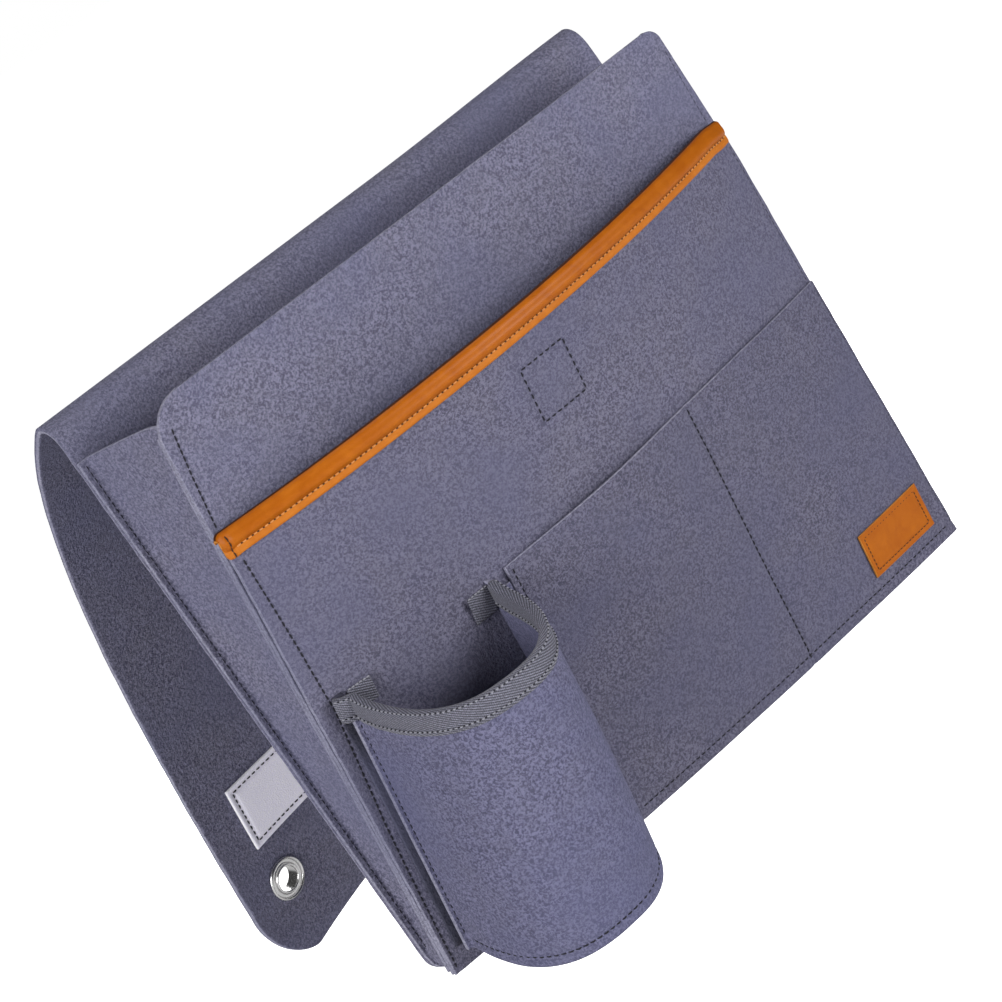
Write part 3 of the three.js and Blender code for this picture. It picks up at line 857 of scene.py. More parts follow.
# Leather trim: folded over the pocket's top edge, puffed in front above its stitches
trim = {
    "front": 10.0,
    "back": 8.0,
    "leather": 1.4,
    "padding": 2.3,
    "stitchInset": 3.6,
    "leftInset": -2.2,
    "rightInset": 2.2,
    "leftRound": 2.6,
    "rightRound": 0.8,
    "leftDrop": 0.3,
    "seamAcross": 0.9,
    "rightFlat": 9.0,  # the puffed front runs out over this length
    "stitch": (2.7, 1.9, 0.34, 0.5),
    "stitchGap": (2.7, 1.0, 0.34, 0.6),  # brown between the peach stitches
    "endStitch": (2.8, 2.75, 0.32, 0.5),
}


def makeTrim():
    half = frontWidth(trimPocket["height"]) / 2
    left, right = -half + trim["leftInset"], half - trim["rightInset"]
    seam = -half + trim["seamAcross"]
    inside = sewnBox["pocketFelt"] / 2 + sewnBox["layerGap"]
    outside = inside + trim["leather"]

    def middle(x, z):
        return trimPocketInner(x, z) - sewnBox["pocketFelt"] / 2

    def directions(x):
        top = trimTop(x)
        below = top - trim["front"]
        up = Vector((0, middle(x, top) - middle(x, below), trim["front"])).normalized()
        return Vector((x, middle(x, top), top)), up, Vector((0, -up.z, up.y))

    # Distances out and up of the strip's outer and inner face at x.
    def sections(x):
        end = smooth(min((x - left) / trim["leftRound"], (right - x) / trim["rightRound"]))
        gone = max(0.0, 1 - (x - left) / trim["leftRound"])
        cap = trim["leftRound"] * rounded(gone, 1.0)
        flat = smooth((x - right + trim["rightFlat"]) / trim["rightFlat"])
        height = trim["front"] + trim["leftDrop"] * smooth((left + 7 - x) / 3) - 0.9 * cap - flat
        sewn = dent(x - seam, 0.9, 1.1)
        pad = trim["padding"] * (0.25 + 0.75 * end) * (1 - 0.55 * flat) - sewn
        ripple = 0.12 * noise.noise(Vector((x / 9, 4.0, 0)))
        stitch = trim["stitchInset"] - height
        skin = outside - 0.7 * (1 - end)
        step = (-0.7 - stitch) / 5.7
        outer = [
            (skin - 0.4, -height),
            (skin, -height + 0.3),
            (skin + 0.15, -height + 1.1),
            (skin + 0.1, -height + 2.2),
            (skin - 0.1, stitch - 0.5),
            (skin - 0.3 - 0.3 * sewn, stitch),
            (skin + 0.05, stitch + 0.6 * step),
            (skin + 0.5 * pad, stitch + 1.3 * step),
            (skin + 0.85 * pad + ripple, stitch + 2.1 * step),
            (skin + pad + ripple, stitch + 3.1 * step),
            (skin + 0.97 * pad + ripple, stitch + 4.1 * step),
            (skin + 0.82 * pad, stitch + 5.0 * step),
            (skin + 0.55 * pad, -0.7),
        ]
        inner = [(inside, up) for _, up in outer]
        drop = 0.6 * cap
        for turn in even(0, math.pi, 8):
            reach = skin + 0.3 * pad * max(math.cos(turn), 0)
            outer.append((reach * math.cos(turn), 0.3 - drop + 1.9 * math.sin(turn) * (0.7 + 0.3 * end)))
            inner.append((inside * math.cos(turn), 0.3 - drop + 0.3 * math.sin(turn)))
        short = lerp(0.25, 1.0, smooth((x - left - 1) / 4))
        for low in (2.0, 4.5, trim["back"]):
            outer.append((-skin, -low * short))
            inner.append((-inside, -low * short))
        return outer, inner

    def spot(x, a, b):
        point, up, out = directions(x)
        return place(*(point + out * a + up * b))

    grids = ([], [])
    for x in spaced(left, right, [left, seam, right], fine=0.6, coarse=2.5, reach=4):
        for grid, section in zip(grids, sections(x)):
            grid.append([spot(x, a, b) for a, b in section])
    piece = sheetPiece("leatherTrim", *grids, [leather, leatherEdge, leatherLip, shadedLeatherRear], 0.15)
    cells = len(grids[0][0]) - 1
    lipEnd, rearStart = 5, 15  # columns of the lip below the stitches, in a lighter leather, and of the strip behind, in painted shade
    for i, face in enumerate(piece.data.polygons[: 2 * cells * (len(grids[0]) - 1)]):
        column = i // 2 % cells
        if i % 2 == 0 and (column < lipEnd or column > rearStart):
            face.material_index = 2 if column < lipEnd else 3
    seat(piece, "front", "leather", "leather_trim")

    stitchPoint, foldPoint = 5, 14  # points of the section at the stitches and past the fold
    start, end = seam + 2, right - 1
    line = []
    for x in even(start, end, int(abs(end - start) / 0.8)):
        line.append((spot(x, *sections(x)[0][stitchPoint]), directions(x)[2]))
    sew(trimThread, line, *trim["stitch"])
    sew(tanThread, line, *trim["stitchGap"], phase=0.5)
    across = [(spot(seam, a, b), directions(seam)[2]) for a, b in sections(seam)[0][:foldPoint]]
    sew(tanThread, across, *trim["endStitch"])


makeTrim()
print("leather trim made")


# Lower pocket panel: one felt piece, parted by a sewn line into two pockets
lowerPocket = {
    "height": 138.0,
    "leftEase": 4.0,
    "rightEase": 0.6,
    "left": -59.9,
    "rightInset": 2.6,
    "divider": 53.6,
    "dividerLean": 3.4,
    "dividerDent": 0.9,
    "dividerDentReach": 1.4,
    "dividerStitch": (3.4, 2.7, 0.44),
    "leftSeam": 2.6,
    "slant": 0.037,  # the mouth rises to the right, up to slantEnd
    "slantMiddle": 19.0,
    "slantEnd": 95.0,
}
lowerLeft = lowerPocket["left"]


def dividerAt(z):
    return lowerPocket["divider"] + lowerPocket["dividerLean"] * (1 - z / lowerPocket["height"])


def lowerInner(x, z):
    divider = dividerAt(z)
    start, end, ease = lowerLeft, divider, lowerPocket["leftEase"]
    if x > divider:
        start, end, ease = divider, frontWidth(z) / 2, lowerPocket["rightEase"]
    share = min(max((x - start) / (end - start), 0.0), 1.0)
    mouth = ease * math.sin(math.pi * share) ** 2
    return trimPocketOuter(x, z) - sewnBox["layerGap"] - mouth * z / lowerPocket["height"]


def lowerFace(x, z):
    sewn = dent(x - dividerAt(z), lowerPocket["dividerDent"], lowerPocket["dividerDentReach"])
    sewn += dent(x - lowerLeft - lowerPocket["leftSeam"])
    return lowerInner(x, z) - sewnBox["pocketFelt"] + sewn + sideDent(x, z, "pocketLeft") + bottomDent(z)


def makeLowerPocket():
    top, divider, low = lowerPocket["height"], lowerPocket["divider"], sewnBox["bottomSeam"]
    right = sewnBox["bottomWidth"] / 2
    leftSeam = lowerLeft + lowerPocket["leftSeam"]
    heights = spaced(0, top, [0, low, top])
    shares = sharesOf(lowerLeft, right, [lowerLeft, leftSeam, divider, right - 2, right])

    def edges(z):
        return lowerLeft + wander(z, 11.0), frontWidth(z) / 2 - lowerPocket["rightInset"] + wander(z, 13.0)

    def topAt(x):
        return top + lowerPocket["slant"] * (min(x, lowerPocket["slantEnd"]) - lowerPocket["slantMiddle"])

    beside = 4.0  # the column that follows the divider runs this far to its right
    keep = (lambda z: dividerAt(z) + beside, (divider + beside - lowerLeft) / (right - lowerLeft))
    grids = panelGrids(heights, shares, edges, lowerFace, lowerInner, topAt, keep)
    # its felt is darkened with painted shade
    piece = sheetPiece("lowerPocketFelt", *grids, [lowerShadedFelt, paleEdge])
    seat(piece, "front", "felt", "lower_pocket_panel")
    seamEnd = 3
    sewLine(frontThread, lowerFace, (leftSeam, top - 5), (leftSeam, seamEnd))
    dividerEnds = (dividerAt(top), top - 0.5), (dividerAt(seamEnd), seamEnd)
    sewLine(frontThread, lowerFace, *dividerEnds, *lowerPocket["dividerStitch"])
    sewLine(frontThread, lowerFace, (lowerLeft + 6, low), (right - 7, low))


makeLowerPocket()
print("lower pockets made")


# Leather label, bare, sewn on round its border
label = {
    "width": 43.0,
    "height": 22.0,
    "sideInset": 14.0,
    "bottomInset": 11.0,
    "thick": 1.4,
    "border": 2.4,
    "gap": 0.15,
    "dent": 0.35,
    "dentReach": 0.8,
    "stitch": (2.3, 1.6, 0.24, 0.45),
}


def makeLabel():
    right = sewnBox["bottomWidth"] / 2 - label["sideInset"]
    left, low, border = right - label["width"], label["bottomInset"], label["border"]
    high = low + label["height"]
    x0, x1, z0, z1 = left + border, right - border, low + border, high - border

    def seatFace(x, z):
        return lowerFace(x, z) - label["gap"]

    def face(x, z):
        distance = max(x0 - x, x - x1, z0 - z, z - z1)
        return seatFace(x, z) - label["thick"] + dent(distance, label["dent"], label["dentReach"])

    columns = spaced(left, right, [left, x0, x1, right], fine=0.5, coarse=3, reach=1.6)
    rows = spaced(low, high, [low, z0, z1, high], fine=0.5, coarse=3, reach=1.6)
    grids = surfaceGrids(columns, rows, face, seatFace)
    piece = sheetPiece("leatherLabel", *grids, [leather, leatherEdge], 0.25)
    seat(piece, "front", "leather", "leather_label")
    for start, end in boxSides(x0, x1, z0, z1):
        sew(tanThread, facePath(face, straightSpots(start, end, 0.5)), *label["stitch"])


makeLabel()
print("label made")


# Cup: a squarish U in plan, drooping in front. On the left it is sewn edge to edge with a narrow flange,
# so that both raw edges stand out as a ridge; on the right its own flange lies flat.
cup = {
    "rimLeft": -145.1,
    "baseLeft": -154.9,
    "right": -68.2,
    "depth": 58.0,
    "rim": 132.7,
    "base": 11.9,
    "droop": 23.0,
    "lean": 11.0,
    "squareness": 0.764,
    "flange": 7.0,
    "ridge": 2.6,
    "ridgeRise": 4.2,
    "lip": 6.0,
    "seamUp": 4.6,
    "swell": 1.1,
    "endRise": 4.0,  # the rim's ends stand higher
    "endRiseReach": 0.25,
    "ridgeTurn": 1.5,  # the angle round the U up to which the wall starts from the ridge
    "baseStitch": (3.3, 2.5, 0.42, 0.6),
    "ridgeStitch": (3.1, 2.2, 0.3),
    "flangeDrop": 8.0,
    "leftFlange": 4.4,
    "leftFlangeFelt": 1.5,
}
cupRight = cup["right"]
cupSeam = cup["base"] + cup["seamUp"]


# Where a height lies between the cup's base and its rim.
def cupShare(z):
    return (z - cup["base"]) / (cup["rim"] - cup["base"])


def cupLeft(z):
    return lerp(cup["baseLeft"], cup["rimLeft"], cupShare(z))


def cupSeat(x, z):
    return trimPocketOuter(x, z) - sewnBox["layerGap"]


# A point at a height above the pocket that the cup is sewn to.
def onSeat(x, z, height):
    return Vector((x, cupSeat(x, z) - height, z))


# How high a level of the cup lies at a distance out from the pocket.
def cupUp(z, out):
    reach = out / cup["depth"]
    ends = max(0.0, 1 - reach / cup["endRiseReach"]) ** 2 * max(0.0, cupShare(z)) ** 3
    return z - cup["droop"] * reach + cup["endRise"] * ends


# Half the cup's width at a level, and a function that finds points by distances across and out.
def cupPlan(z):
    left = Vector((cupLeft(z), cupSeat(cupLeft(z), z)))
    right = Vector((cupRight, cupSeat(cupRight, z)))
    across = (right - left).normalized()
    outward = Vector((across.y, -across.x))
    middle = (left + right) / 2
    lean = cup["lean"] * cupShare(z)

    def at(a, out):
        plan = middle + across * (a + lean * out / cup["depth"]) + outward * out
        return Vector((plan.x, plan.y, cupUp(z, out)))

    return (right - left).length / 2, at


# A point of the U at an angle round it from its left end, no nearer to the pocket than foot.
def cupPoint(plan, angle, inset, foot):
    halfWidth, at = plan

    def squared(value):
        return math.copysign(abs(value) ** cup["squareness"], value)

    out = (cup["depth"] - inset) * squared(max(math.sin(angle), 0.0))
    return at(-(halfWidth - inset) * squared(math.cos(angle)), max(out, foot))


# One level of the cup's wall, outer and inner face.
def cupLevel(z, swell=0.0):
    plan = cupPlan(z)
    thick = sewnBox["pocketFelt"]
    left = cupLeft(z)

    def line(height, inset):
        rise = cup["ridgeRise"] + height
        points = [onSeat(lerp(left - cup["ridge"], left, t), cupUp(z, rise), rise) for t in even(0, 0.9, 6)]
        for angle in even(0, math.pi, 160):
            foot = rise if angle < cup["ridgeTurn"] else height
            points.append(cupPoint(plan, angle, inset - swell, foot))
        low = cup["flangeDrop"] * cupShare(z) ** 3
        for t in even(0.1, 1, 8):
            x = cupRight + cup["flange"] * t
            points.append(onSeat(x, cupUp(z, 0) - low * smooth(3 * t), height))
        return soften(resampled(points, 180), 2)

    return line(thick, 0), line(0, thick)


def makeCup():
    grids = ([], [])
    for z in spaced(cup["base"], cup["rim"], [cup["base"], cupSeam, cup["rim"]], coarse=5):
        swell = cup["swell"] * math.sin(math.pi * cupShare(z)) - dent(z - cupSeam, 0.35)
        outer, inner = cupLevel(z, swell)
        for i, (a, b) in enumerate(zip(outer, inner)):
            push = (a - b).normalized() * (0.5 * noise.noise(Vector((i / 14, z / 30, 8.0))))
            outer[i], inner[i] = a + push, b + push
        grids[0].append(placed(outer))
        grids[1].append(placed(inner))
    piece = sheetPiece("cupWallFelt", *grids, [cupFelt, feltEdge])
    seat(piece, "front", "felt", "cup_wall")
    flat = (round(runs(grids[0][0])[-1], 4), round((cup["rim"] - cup["base"]) / 1000 + 0.003, 4))

    # stitches round the base, down the ridge and down the right flange
    outer, inner = cupLevel(cupSeam, -0.35)
    around = [(place(*a), (a - b).normalized()) for a, b in zip(outer[6:-10], inner[6:-10])]
    sew(frontThread, around, *cup["baseStitch"])

    def flangeFace(x, z):
        return cupSeat(x, z) - sewnBox["pocketFelt"]

    def ridgeFace(x, z):
        return cupSeat(x, z) - cup["ridgeRise"] - sewnBox["pocketFelt"]

    down = even(cup["rim"] - 9, cupSeam, 100)
    sew(frontThread, facePath(ridgeFace, [(cupLeft(z) - 0.9, z) for z in down]), *cup["ridgeStitch"])
    flangeX = cupRight + cup["flange"] - 3.0
    sewLine(frontThread, flangeFace, (flangeX, cup["rim"] - 7), (flangeX, cup["base"] + 2))


# The narrow flange on the left: flat on the pocket, then turned out to the ridge. Its near-black felt is
# painted shade, for the shadow in the groove under the ridge.
def cupFlange():
    top = cup["ridgeRise"] - 0.15
    grids = ([], [])
    for z in even(cup["base"] + 0.5, cup["rim"] - 1.5, 30):
        left = cupLeft(z)
        sides = ((grids[0], left - 0.9, cup["leftFlangeFelt"]), (grids[1], left + 0.6, 0.05))
        for grid, corner, height in sides:
            row = [onSeat(x, cupUp(z, 0), height) for x in even(left - cup["leftFlange"], corner, 8)]
            row += [onSeat(corner, cupUp(z, h), h) for h in even(height, top, 4)[1:]]
            grid.append(placed(row))
    seat(sheetPiece("cupFlangeFelt", *grids, [shadedFeltGroove, shadedFeltGroove], 0.2), "front", "felt")


def cupFloor():
    thick = sewnBox["pocketFelt"]

    def ring(z, inset):
        plan = cupPlan(z)
        wall = thick + sewnBox["layerGap"] + inset
        points = [cupPoint(plan, angle, wall, inset) for angle in even(0, math.pi, 80)]
        points += [onSeat(x, z, inset) for x in even(points[-1].x, points[0].x, 24)[1:-1]]
        return placed(points)

    low = cup["base"] + 0.4
    floor = low + cup["lip"]
    levels = [  # height and inset, from under the floor round the lip to its upper face
        (floor, thick + 1.2), (floor - 1.2, thick), (low, thick), (low, 0), (floor, 0),
        (floor + thick * 0.6, 0.3), (floor + thick, 1.4),
    ]
    lipEdge = 2  # the strip between these levels that is the lip's cut edge
    rings = [ring(*level) for level in levels]
    count = len(rings[0])
    points = [p for r in rings for p in r]
    faces, slots = [], []
    for k in range(len(rings) - 1):
        for i in range(count):
            a, b = k * count + i, k * count + (i + 1) % count
            faces.append((a, b, b + count, a + count))
            slots.append(1 if k == lipEdge else 0)
    for k in (0, len(rings) - 1):
        faces.append(tuple(k * count + i for i in range(count)))
        slots.append(0)
    piece = meshPiece("cupFloorFelt", points, faces, [felt, feltEdge], slots)
    seat(piece, "front", "felt", "cup_base")


makeCup()
cupFlange()
cupFloor()
print("cup made")


# Rim binding: ribbed tape folded over the cup's rim, its ends turned in as tabs
binding = {
    "height": 9.4,
    "tape": 1.0,
    "leftTab": (10.2, 10.2),
    "rightTab": (11.2, 12.0),
    "leftEnd": 5.4,
    "ribStep": 1.2,
    "stitchUp": 2.1,
    "bead": (2.4, 1.3, 0.34, 0.65),
    "beadGap": (2.4, 0.9, 0.34, 0.6),
    "tabBead": (2.0, 1.35, 0.36, 0.75),
}
beads = newStore()
beadGaps = newStore()


def makeBinding():
    thick, gap, tape = sewnBox["pocketFelt"], sewnBox["layerGap"], binding["tape"]
    clear = (thick + tape + 2 * gap) / cup["depth"]
    last = math.pi - math.asin(clear ** (1 / cup["squareness"]))

    # the middle of the wall at a level, from the ridge on the left to where the right flange begins
    def wallLine(z):
        plan, left, rise = cupPlan(z), cupLeft(z), cup["ridgeRise"] + thick / 2
        points = []
        for t in even(0, 0.95, 10):
            height = lerp(thick + tape, rise, smooth(t / 0.6))
            points.append(onSeat(lerp(left - binding["leftEnd"], left, t), cupUp(z, height), height))
        for angle in even(0, last, 300):
            points.append(cupPoint(plan, angle, thick / 2, rise if angle < cup["ridgeTurn"] else 0))
        return points

    rimLine, baseLine = wallLine(cup["rim"]), wallLine(cup["base"])
    rimRun = runs(rimLine)[-1]
    steps = int(rimRun / binding["ribStep"])
    rimLine, baseLine = soften(resampled(rimLine, steps), 3), soften(resampled(baseLine, steps), 3)
    frames = []
    for k, (point, foot) in enumerate(zip(rimLine, baseLine)):
        up = (point - foot).normalized()
        ahead = rimLine[min(k + 1, steps)] - rimLine[max(k - 1, 0)]
        frames.append((point, up, ahead.cross(up).normalized()))

    # the folded tape's section: distances out from the wall and up from the rim
    inside = thick / 2 + 0.15
    outside = inside + tape
    height = binding["height"]
    front = ((0, 1), (0.1, 0.75), (0.15, 0.5), (0.1, 0.25))
    outer = [(outside + out, -height * share) for out, share in front]
    inner = [(inside, up) for _, up in outer]
    for turn in even(0, math.pi, 8):
        outer.append((outside * math.cos(turn), 0.3 + 1.2 * math.sin(turn)))
        inner.append((inside * math.cos(turn), 0.2 + 0.4 * math.sin(turn)))
    for share in (0.3, 0.65, 1.0):
        outer.append((-outside, -height * share))
        inner.append((-inside, -height * share))
    across = runs([Vector(spot) for spot in outer])

    grids = ([], [])
    places = []
    for k, (point, up, out) in enumerate(frames):
        wave = 0.18 * noise.noise(Vector((k / 4, 2.0, 5.0)))
        for grid, section in zip(grids, (outer, inner)):
            grid.append(placed(point + out * (a + wave) + up * b for a, b in section))
        places.append([(k * binding["ribStep"], s) for s in across])
    piece = sheetPiece("rimBindingTape", *grids, [ribbedTape, ribbedTape], 0.1, places)
    seat(piece, "front", "binding_tape", "cup_rim_binding")

    # pale stitches along both edges, outside and inside
    low = binding["stitchUp"] - height
    for a, b, side in ((outside + 0.15, low, 1), (outside * 0.85, 0.8, 1), (-outside, low, -1)):
        path = [(place(*(point + out * a + up * b)), out * side) for point, up, out in frames]
        sew(beads, path, *binding["bead"])
        sew(beadGaps, path, *binding["beadGap"], phase=0.5)


# A tab at an end of the tape, turned in on the pocket.
def bindingTab(side, start, way):
    wide, tall = binding[side + "Tab"]
    high = cup["rim"] + 1.4
    low = high - tall
    face, back, places = [], [], []
    for z in even(low, high, 10):
        spots = []
        for t in even(0, 1, 12):
            spots.append((start + way * wide * t, 0.5 + 1.6 * t * t * smooth((z - low) / tall)))
        face.append(placed(onSeat(x, z, lift + binding["tape"]) for x, lift in spots))
        back.append(placed(onSeat(x, z, lift) for x, lift in spots))
        places.append([(wide * t * way, z - low) for t in even(0, 1, 12)])
    tab = sheetPiece(side + "BindingTab", face, back, [ribbedTape, ribbedTape], 0.12, places)
    seat(tab, "front", "binding_tape")
    edge = [(point + Vector((0, -0.0002, 0)), Vector((0, -1, 0.3)).normalized()) for point in face[-1]]
    sew(beads, edge, *binding["tabBead"])


makeBinding()
bindingTab("left", cupLeft(cup["rim"]) + sewnBox["pocketFelt"], 1)
bindingTab("right", cupRight - sewnBox["pocketFelt"], -1)
threadPiece("bindingThread", beads, paleThread, "front", "binding_tape")
threadPiece("bindingThreadGaps", beadGaps, navyThread, "front", "binding_tape")
print("binding made")


# Side seams of the front: down the front panel, the pocket, and whatever lies on it below
def makeSideSeams():
    def run(surface, line, high, low):
        spots = [(seamX(line, z), z) for z in even(high, low, int(high - low))]
        thread = sideSeam["rightThread" if line == "right" else "leftThread"]
        sew(frontThread, facePath(surface, spots), sideSeam["pitch"], sideSeam["stitch"], thread)

    leftTop, rightTop, end = trimTop(-topHalf), trimTop(topHalf), 4
    run(frontPanelFace, "frontLeft", frontPanel["seamTop"], leftTop + 3)
    run(trimPocketFace, "pocketLeft", leftTop - trim["front"] - 3, end)
    run(frontPanelFace, "right", frontPanel["seamTop"], rightTop + 3)
    run(trimPocketFace, "right", rightTop - trim["front"] - 1, lowerPocket["height"] + 4)
    run(lowerFace, "right", lowerPocket["height"] + 1, end)
    low = sewnBox["bottomSeam"]
    sewLine(frontThread, trimPocketFace, (cupRight + 1, low), (lowerLeft - 1, low))


makeSideSeams()
threadPiece("frontSeamThread", frontThread, navyThread, "front", "felt")
threadPiece("leatherThread", tanThread, brownThread, "front", "leather")
threadPiece("trimThread", trimThread, peachThread, "front", "leather")
print("front seams sewn")


# Back panel, fold and flap: one long felt sheet that hangs over the armrest
backSheet = {
    "width": 330.0,
    "bottomCorner": 10.0,
    "flapCornerUp": 37.0,
    "flapCornerIn": 26.0,
    "foldHeight": 278.0,
    "foldRadius": 11.0,
    "foldEnd": 65.0,
    "reach": 154.0,
    "drop": 299.0,
    "topHandle": 95.0,
    "endHandle": 132.0,
    "endAngle": 80.0,
    "bow": 5.0,
    "sag": 0.4,  # how uneven the back panel hangs
    "sagRun": 60.0,
    "wave": 0.9,  # and the flap
    "waveRun": 70.0,
    "waveStart": 60.0,
    "rightRise": 2.0,  # the fold stands a little higher towards the right
    "rightRiseFrom": (30.0, 190.0),  # across and up
    "rightRiseRun": (120.0, 80.0),
    "endArch": 5.0,  # the flap's end is cut shorter between its corners
    "endArchHalf": 140.0,
    "endArchRun": 60.0,
    "rightTuck": 13.0,  # the right edge is drawn in where the sheet bends
    "rightTuckRun": 120.0,
}
foldCentre = Vector((sewnBox["panelFelt"] / 2 + backSheet["foldRadius"], backSheet["foldHeight"]))


def turned(vector, degrees):
    a = math.radians(degrees)
    return Vector(
        (vector.x * math.cos(a) - vector.y * math.sin(a), vector.x * math.sin(a) + vector.y * math.cos(a))
    )


flapStart = foldCentre + turned(Vector((backSheet["foldRadius"], 0)), backSheet["foldEnd"])
flapEnd = flapStart + Vector((backSheet["reach"], -backSheet["drop"]))
flapHandles = (
    flapStart,
    flapStart + turned(Vector((0, -backSheet["topHandle"])), backSheet["foldEnd"]),
    flapEnd + turned(Vector((-backSheet["endHandle"], 0)), -backSheet["endAngle"]),
    flapEnd,
)


def flapCurvePoint(t):
    a, b, c, d = flapHandles
    s = 1 - t
    return a * s**3 + b * (3 * s * s * t) + c * (3 * s * t * t) + d * t**3


flapCurve = [flapCurvePoint(t) for t in even(0, 1, 600)]
flapRuns = runs(flapCurve)
flapLength = flapRuns[-1]


def flapMiddle(x, along):
    share = along / flapLength
    swing = backSheet["bow"] * (1 - (2 * x / backSheet["width"]) ** 2) * share**2
    profile = pointAt(flapCurve, flapRuns, min(max(along, 0.0), flapLength))
    point = foldCentre + turned(profile - foldCentre, swing)
    run = backSheet["waveRun"]
    wave = backSheet["wave"] * smooth(along / backSheet["waveStart"])
    wave *= noise.noise(Vector((x / run, along / run, 6.1)))
    return Vector((x, point.x + wave, point.y))


def flapNormal(x, along):
    across = flapMiddle(x + 1, along) - flapMiddle(x - 1, along)
    down = flapMiddle(x, min(along + 1, flapLength)) - flapMiddle(x, max(along - 1, 0.0))
    return across.cross(down).normalized()


def flapPoint(x, along, height):
    return flapMiddle(x, along) + flapNormal(x, along) * height


# How far the right edge is drawn in, by the distance along the sheet from the fold.
def tuck(fromFold):
    return backSheet["rightTuck"] * smooth(1 - fromFold / backSheet["rightTuckRun"])


def backRight(z):
    return backSheet["width"] / 2 - tuck(backSheet["foldHeight"] - z)


# How much a corner at the bottom of the back panel is rounded off at a height.
def bottomInset(z):
    return rounded(backSheet["bottomCorner"] - z, backSheet["bottomCorner"])


eyelet = {"sideInset": 26.0, "endInset": 40.0, "hole": 7.4}
eyeletSpots = []  # side, centre and axis of each eyelet
for side, sign in (("left", -1), ("right", 1)):
    at = (sign * (backSheet["width"] / 2 - eyelet["sideInset"]), flapLength - eyelet["endInset"])
    eyeletSpots.append((side, place(*flapMiddle(*at)), flapNormal(*at)))
backThread = newStore()
flapThread = newStore()


def cutHole(piece, centre, axis, radius):
    cutter = bpy.data.meshes.new("holeCutter")
    work = bmesh.new()
    turn = Vector((0, 0, 1)).rotation_difference(axis).to_matrix().to_4x4()
    bmesh.ops.create_cone(
        work, cap_ends=True, segments=40, radius1=radius, radius2=radius, depth=0.03,
        matrix=Matrix.Translation(centre) @ turn,
    )
    work.to_mesh(cutter)
    work.free()
    tool = bpy.data.objects.new("holeCutter", cutter)
    scene.collection.objects.link(tool)
    modifier = piece.modifiers.new("hole", "BOOLEAN")
    modifier.operation = "DIFFERENCE"
    modifier.solver = "EXACT"
    modifier.object = tool
    bpy.context.view_layer.update()
    cut = bpy.data.meshes.new_from_object(piece.evaluated_get(bpy.context.evaluated_depsgraph_get()))
    piece.modifiers.clear()
    old = piece.data
    piece.data = cut
    cut.name = piece.name
    bpy.data.meshes.remove(old)
    bpy.data.objects.remove(tool)
    bpy.data.meshes.remove(cutter)


def makeBackSheet():
    half = backSheet["width"] / 2
    thick = sewnBox["panelFelt"]
    shares = sharesOf(-half, half, [-half, -half + 5, half - 5, half], fine=1.2)

    # Each row gives its left edge, its right edge, and a function of x and side.
    def row(along, inset, drawn, at):
        return -half + inset + wander(along, 17.0), half - drawn - inset + wander(along, 19.0), at

    def backRow(z):
        def at(x, outer):
            run = backSheet["sagRun"]
            sag = backSheet["sag"] * noise.noise(Vector((x / run, z / run, 9.0)))
            sag *= smooth(z / 40)
            sag *= smooth((270 - z) / 60)
            return Vector((x, (0.0 if outer else thick) + sag, z))

        return row(z, bottomInset(z), tuck(backSheet["foldHeight"] - z), at)

    def foldRow(angle):
        def at(x, outer):
            radius = backSheet["foldRadius"] + (thick / 2 if outer else -thick / 2)
            spot = foldCentre + turned(Vector((radius, 0)), angle)
            return Vector((x, spot.x, spot.y))

        run = math.radians(180 - angle) * backSheet["foldRadius"]
        return row(280 + run, 0, tuck(0), at)

    def flapRow(along):
        past = max(0.0, along - (flapLength - backSheet["flapCornerUp"])) / backSheet["flapCornerUp"]
        bent = 0.35 * past**2 + 0.65 * rounded(past, 1.0)

        def at(x, outer):
            arch = max(0.0, 1 - (x / backSheet["endArchHalf"]) ** 2)
            cut = backSheet["endArch"] * arch * smooth(1 - (flapLength - along) / backSheet["endArchRun"])
            return flapPoint(x, along - cut, thick / 2 if outer else -thick / 2)

        return row(310 + along, backSheet["flapCornerIn"] * bent, tuck(along), at)

    corner, fold = backSheet["bottomCorner"], backSheet["foldHeight"]
    rows = [backRow(corner - corner * math.cos(math.pi / 2 * t)) for t in even(0, 1, 8)[:-1]]
    rows += [backRow(z) for z in spaced(corner, fold, [corner], fine=2.0, coarse=5.0)]
    rows += [foldRow(angle) for angle in even(180, backSheet["foldEnd"], 14)[1:-1]]
    corner = backSheet["flapCornerUp"]
    straight = flapLength - corner
    rows += [flapRow(along) for along in spaced(0, straight, [0], fine=2.0, coarse=5.0)]
    rows += [flapRow(straight + corner * math.sin(math.pi / 2 * t)) for t in even(0, 1, 18)[1:]]

    def lifted(spot):
        rise = backSheet["rightRise"]
        for value, start, run in zip(spot.xz, backSheet["rightRiseFrom"], backSheet["rightRiseRun"]):
            rise *= smooth((value - start) / run)
        return place(spot.x, spot.y, spot.z + rise)

    grids = ([], [])
    for left, right, at in rows:
        for grid, outer in zip(grids, (True, False)):
            grid.append([lifted(at(lerp(left, right, share), outer)) for share in shares])
    piece = sheetPiece("backAndFlapFelt", *grids, [felt, paleEdge], rim=(0, 0, 1, 1))
    for _, centre, axis in eyeletSpots:
        cutHole(piece, centre, axis, eyelet["hole"] / 1000)
    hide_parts("back_panel", "fold_bridge", "rear_flap")
    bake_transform(piece)


makeBackSheet()
print("back sheet made, flap length", round(flapLength, 1))


# Hook tape on the flap's inner face, sewn round its border and through to the outside
hookTape = {
    "height": 35.0,
    "sideInset": 20.0,
    "endInset": 64.0,
    "thick": 1.6,
    "border": 2.8,
    "gap": 0.15,
    "dent": 0.7,
    "dentReach": 1.1,
    "stitch": (3.3, 2.3, 0.4, 0.45),
    "rearStitch": (3.3, 2.3),
}


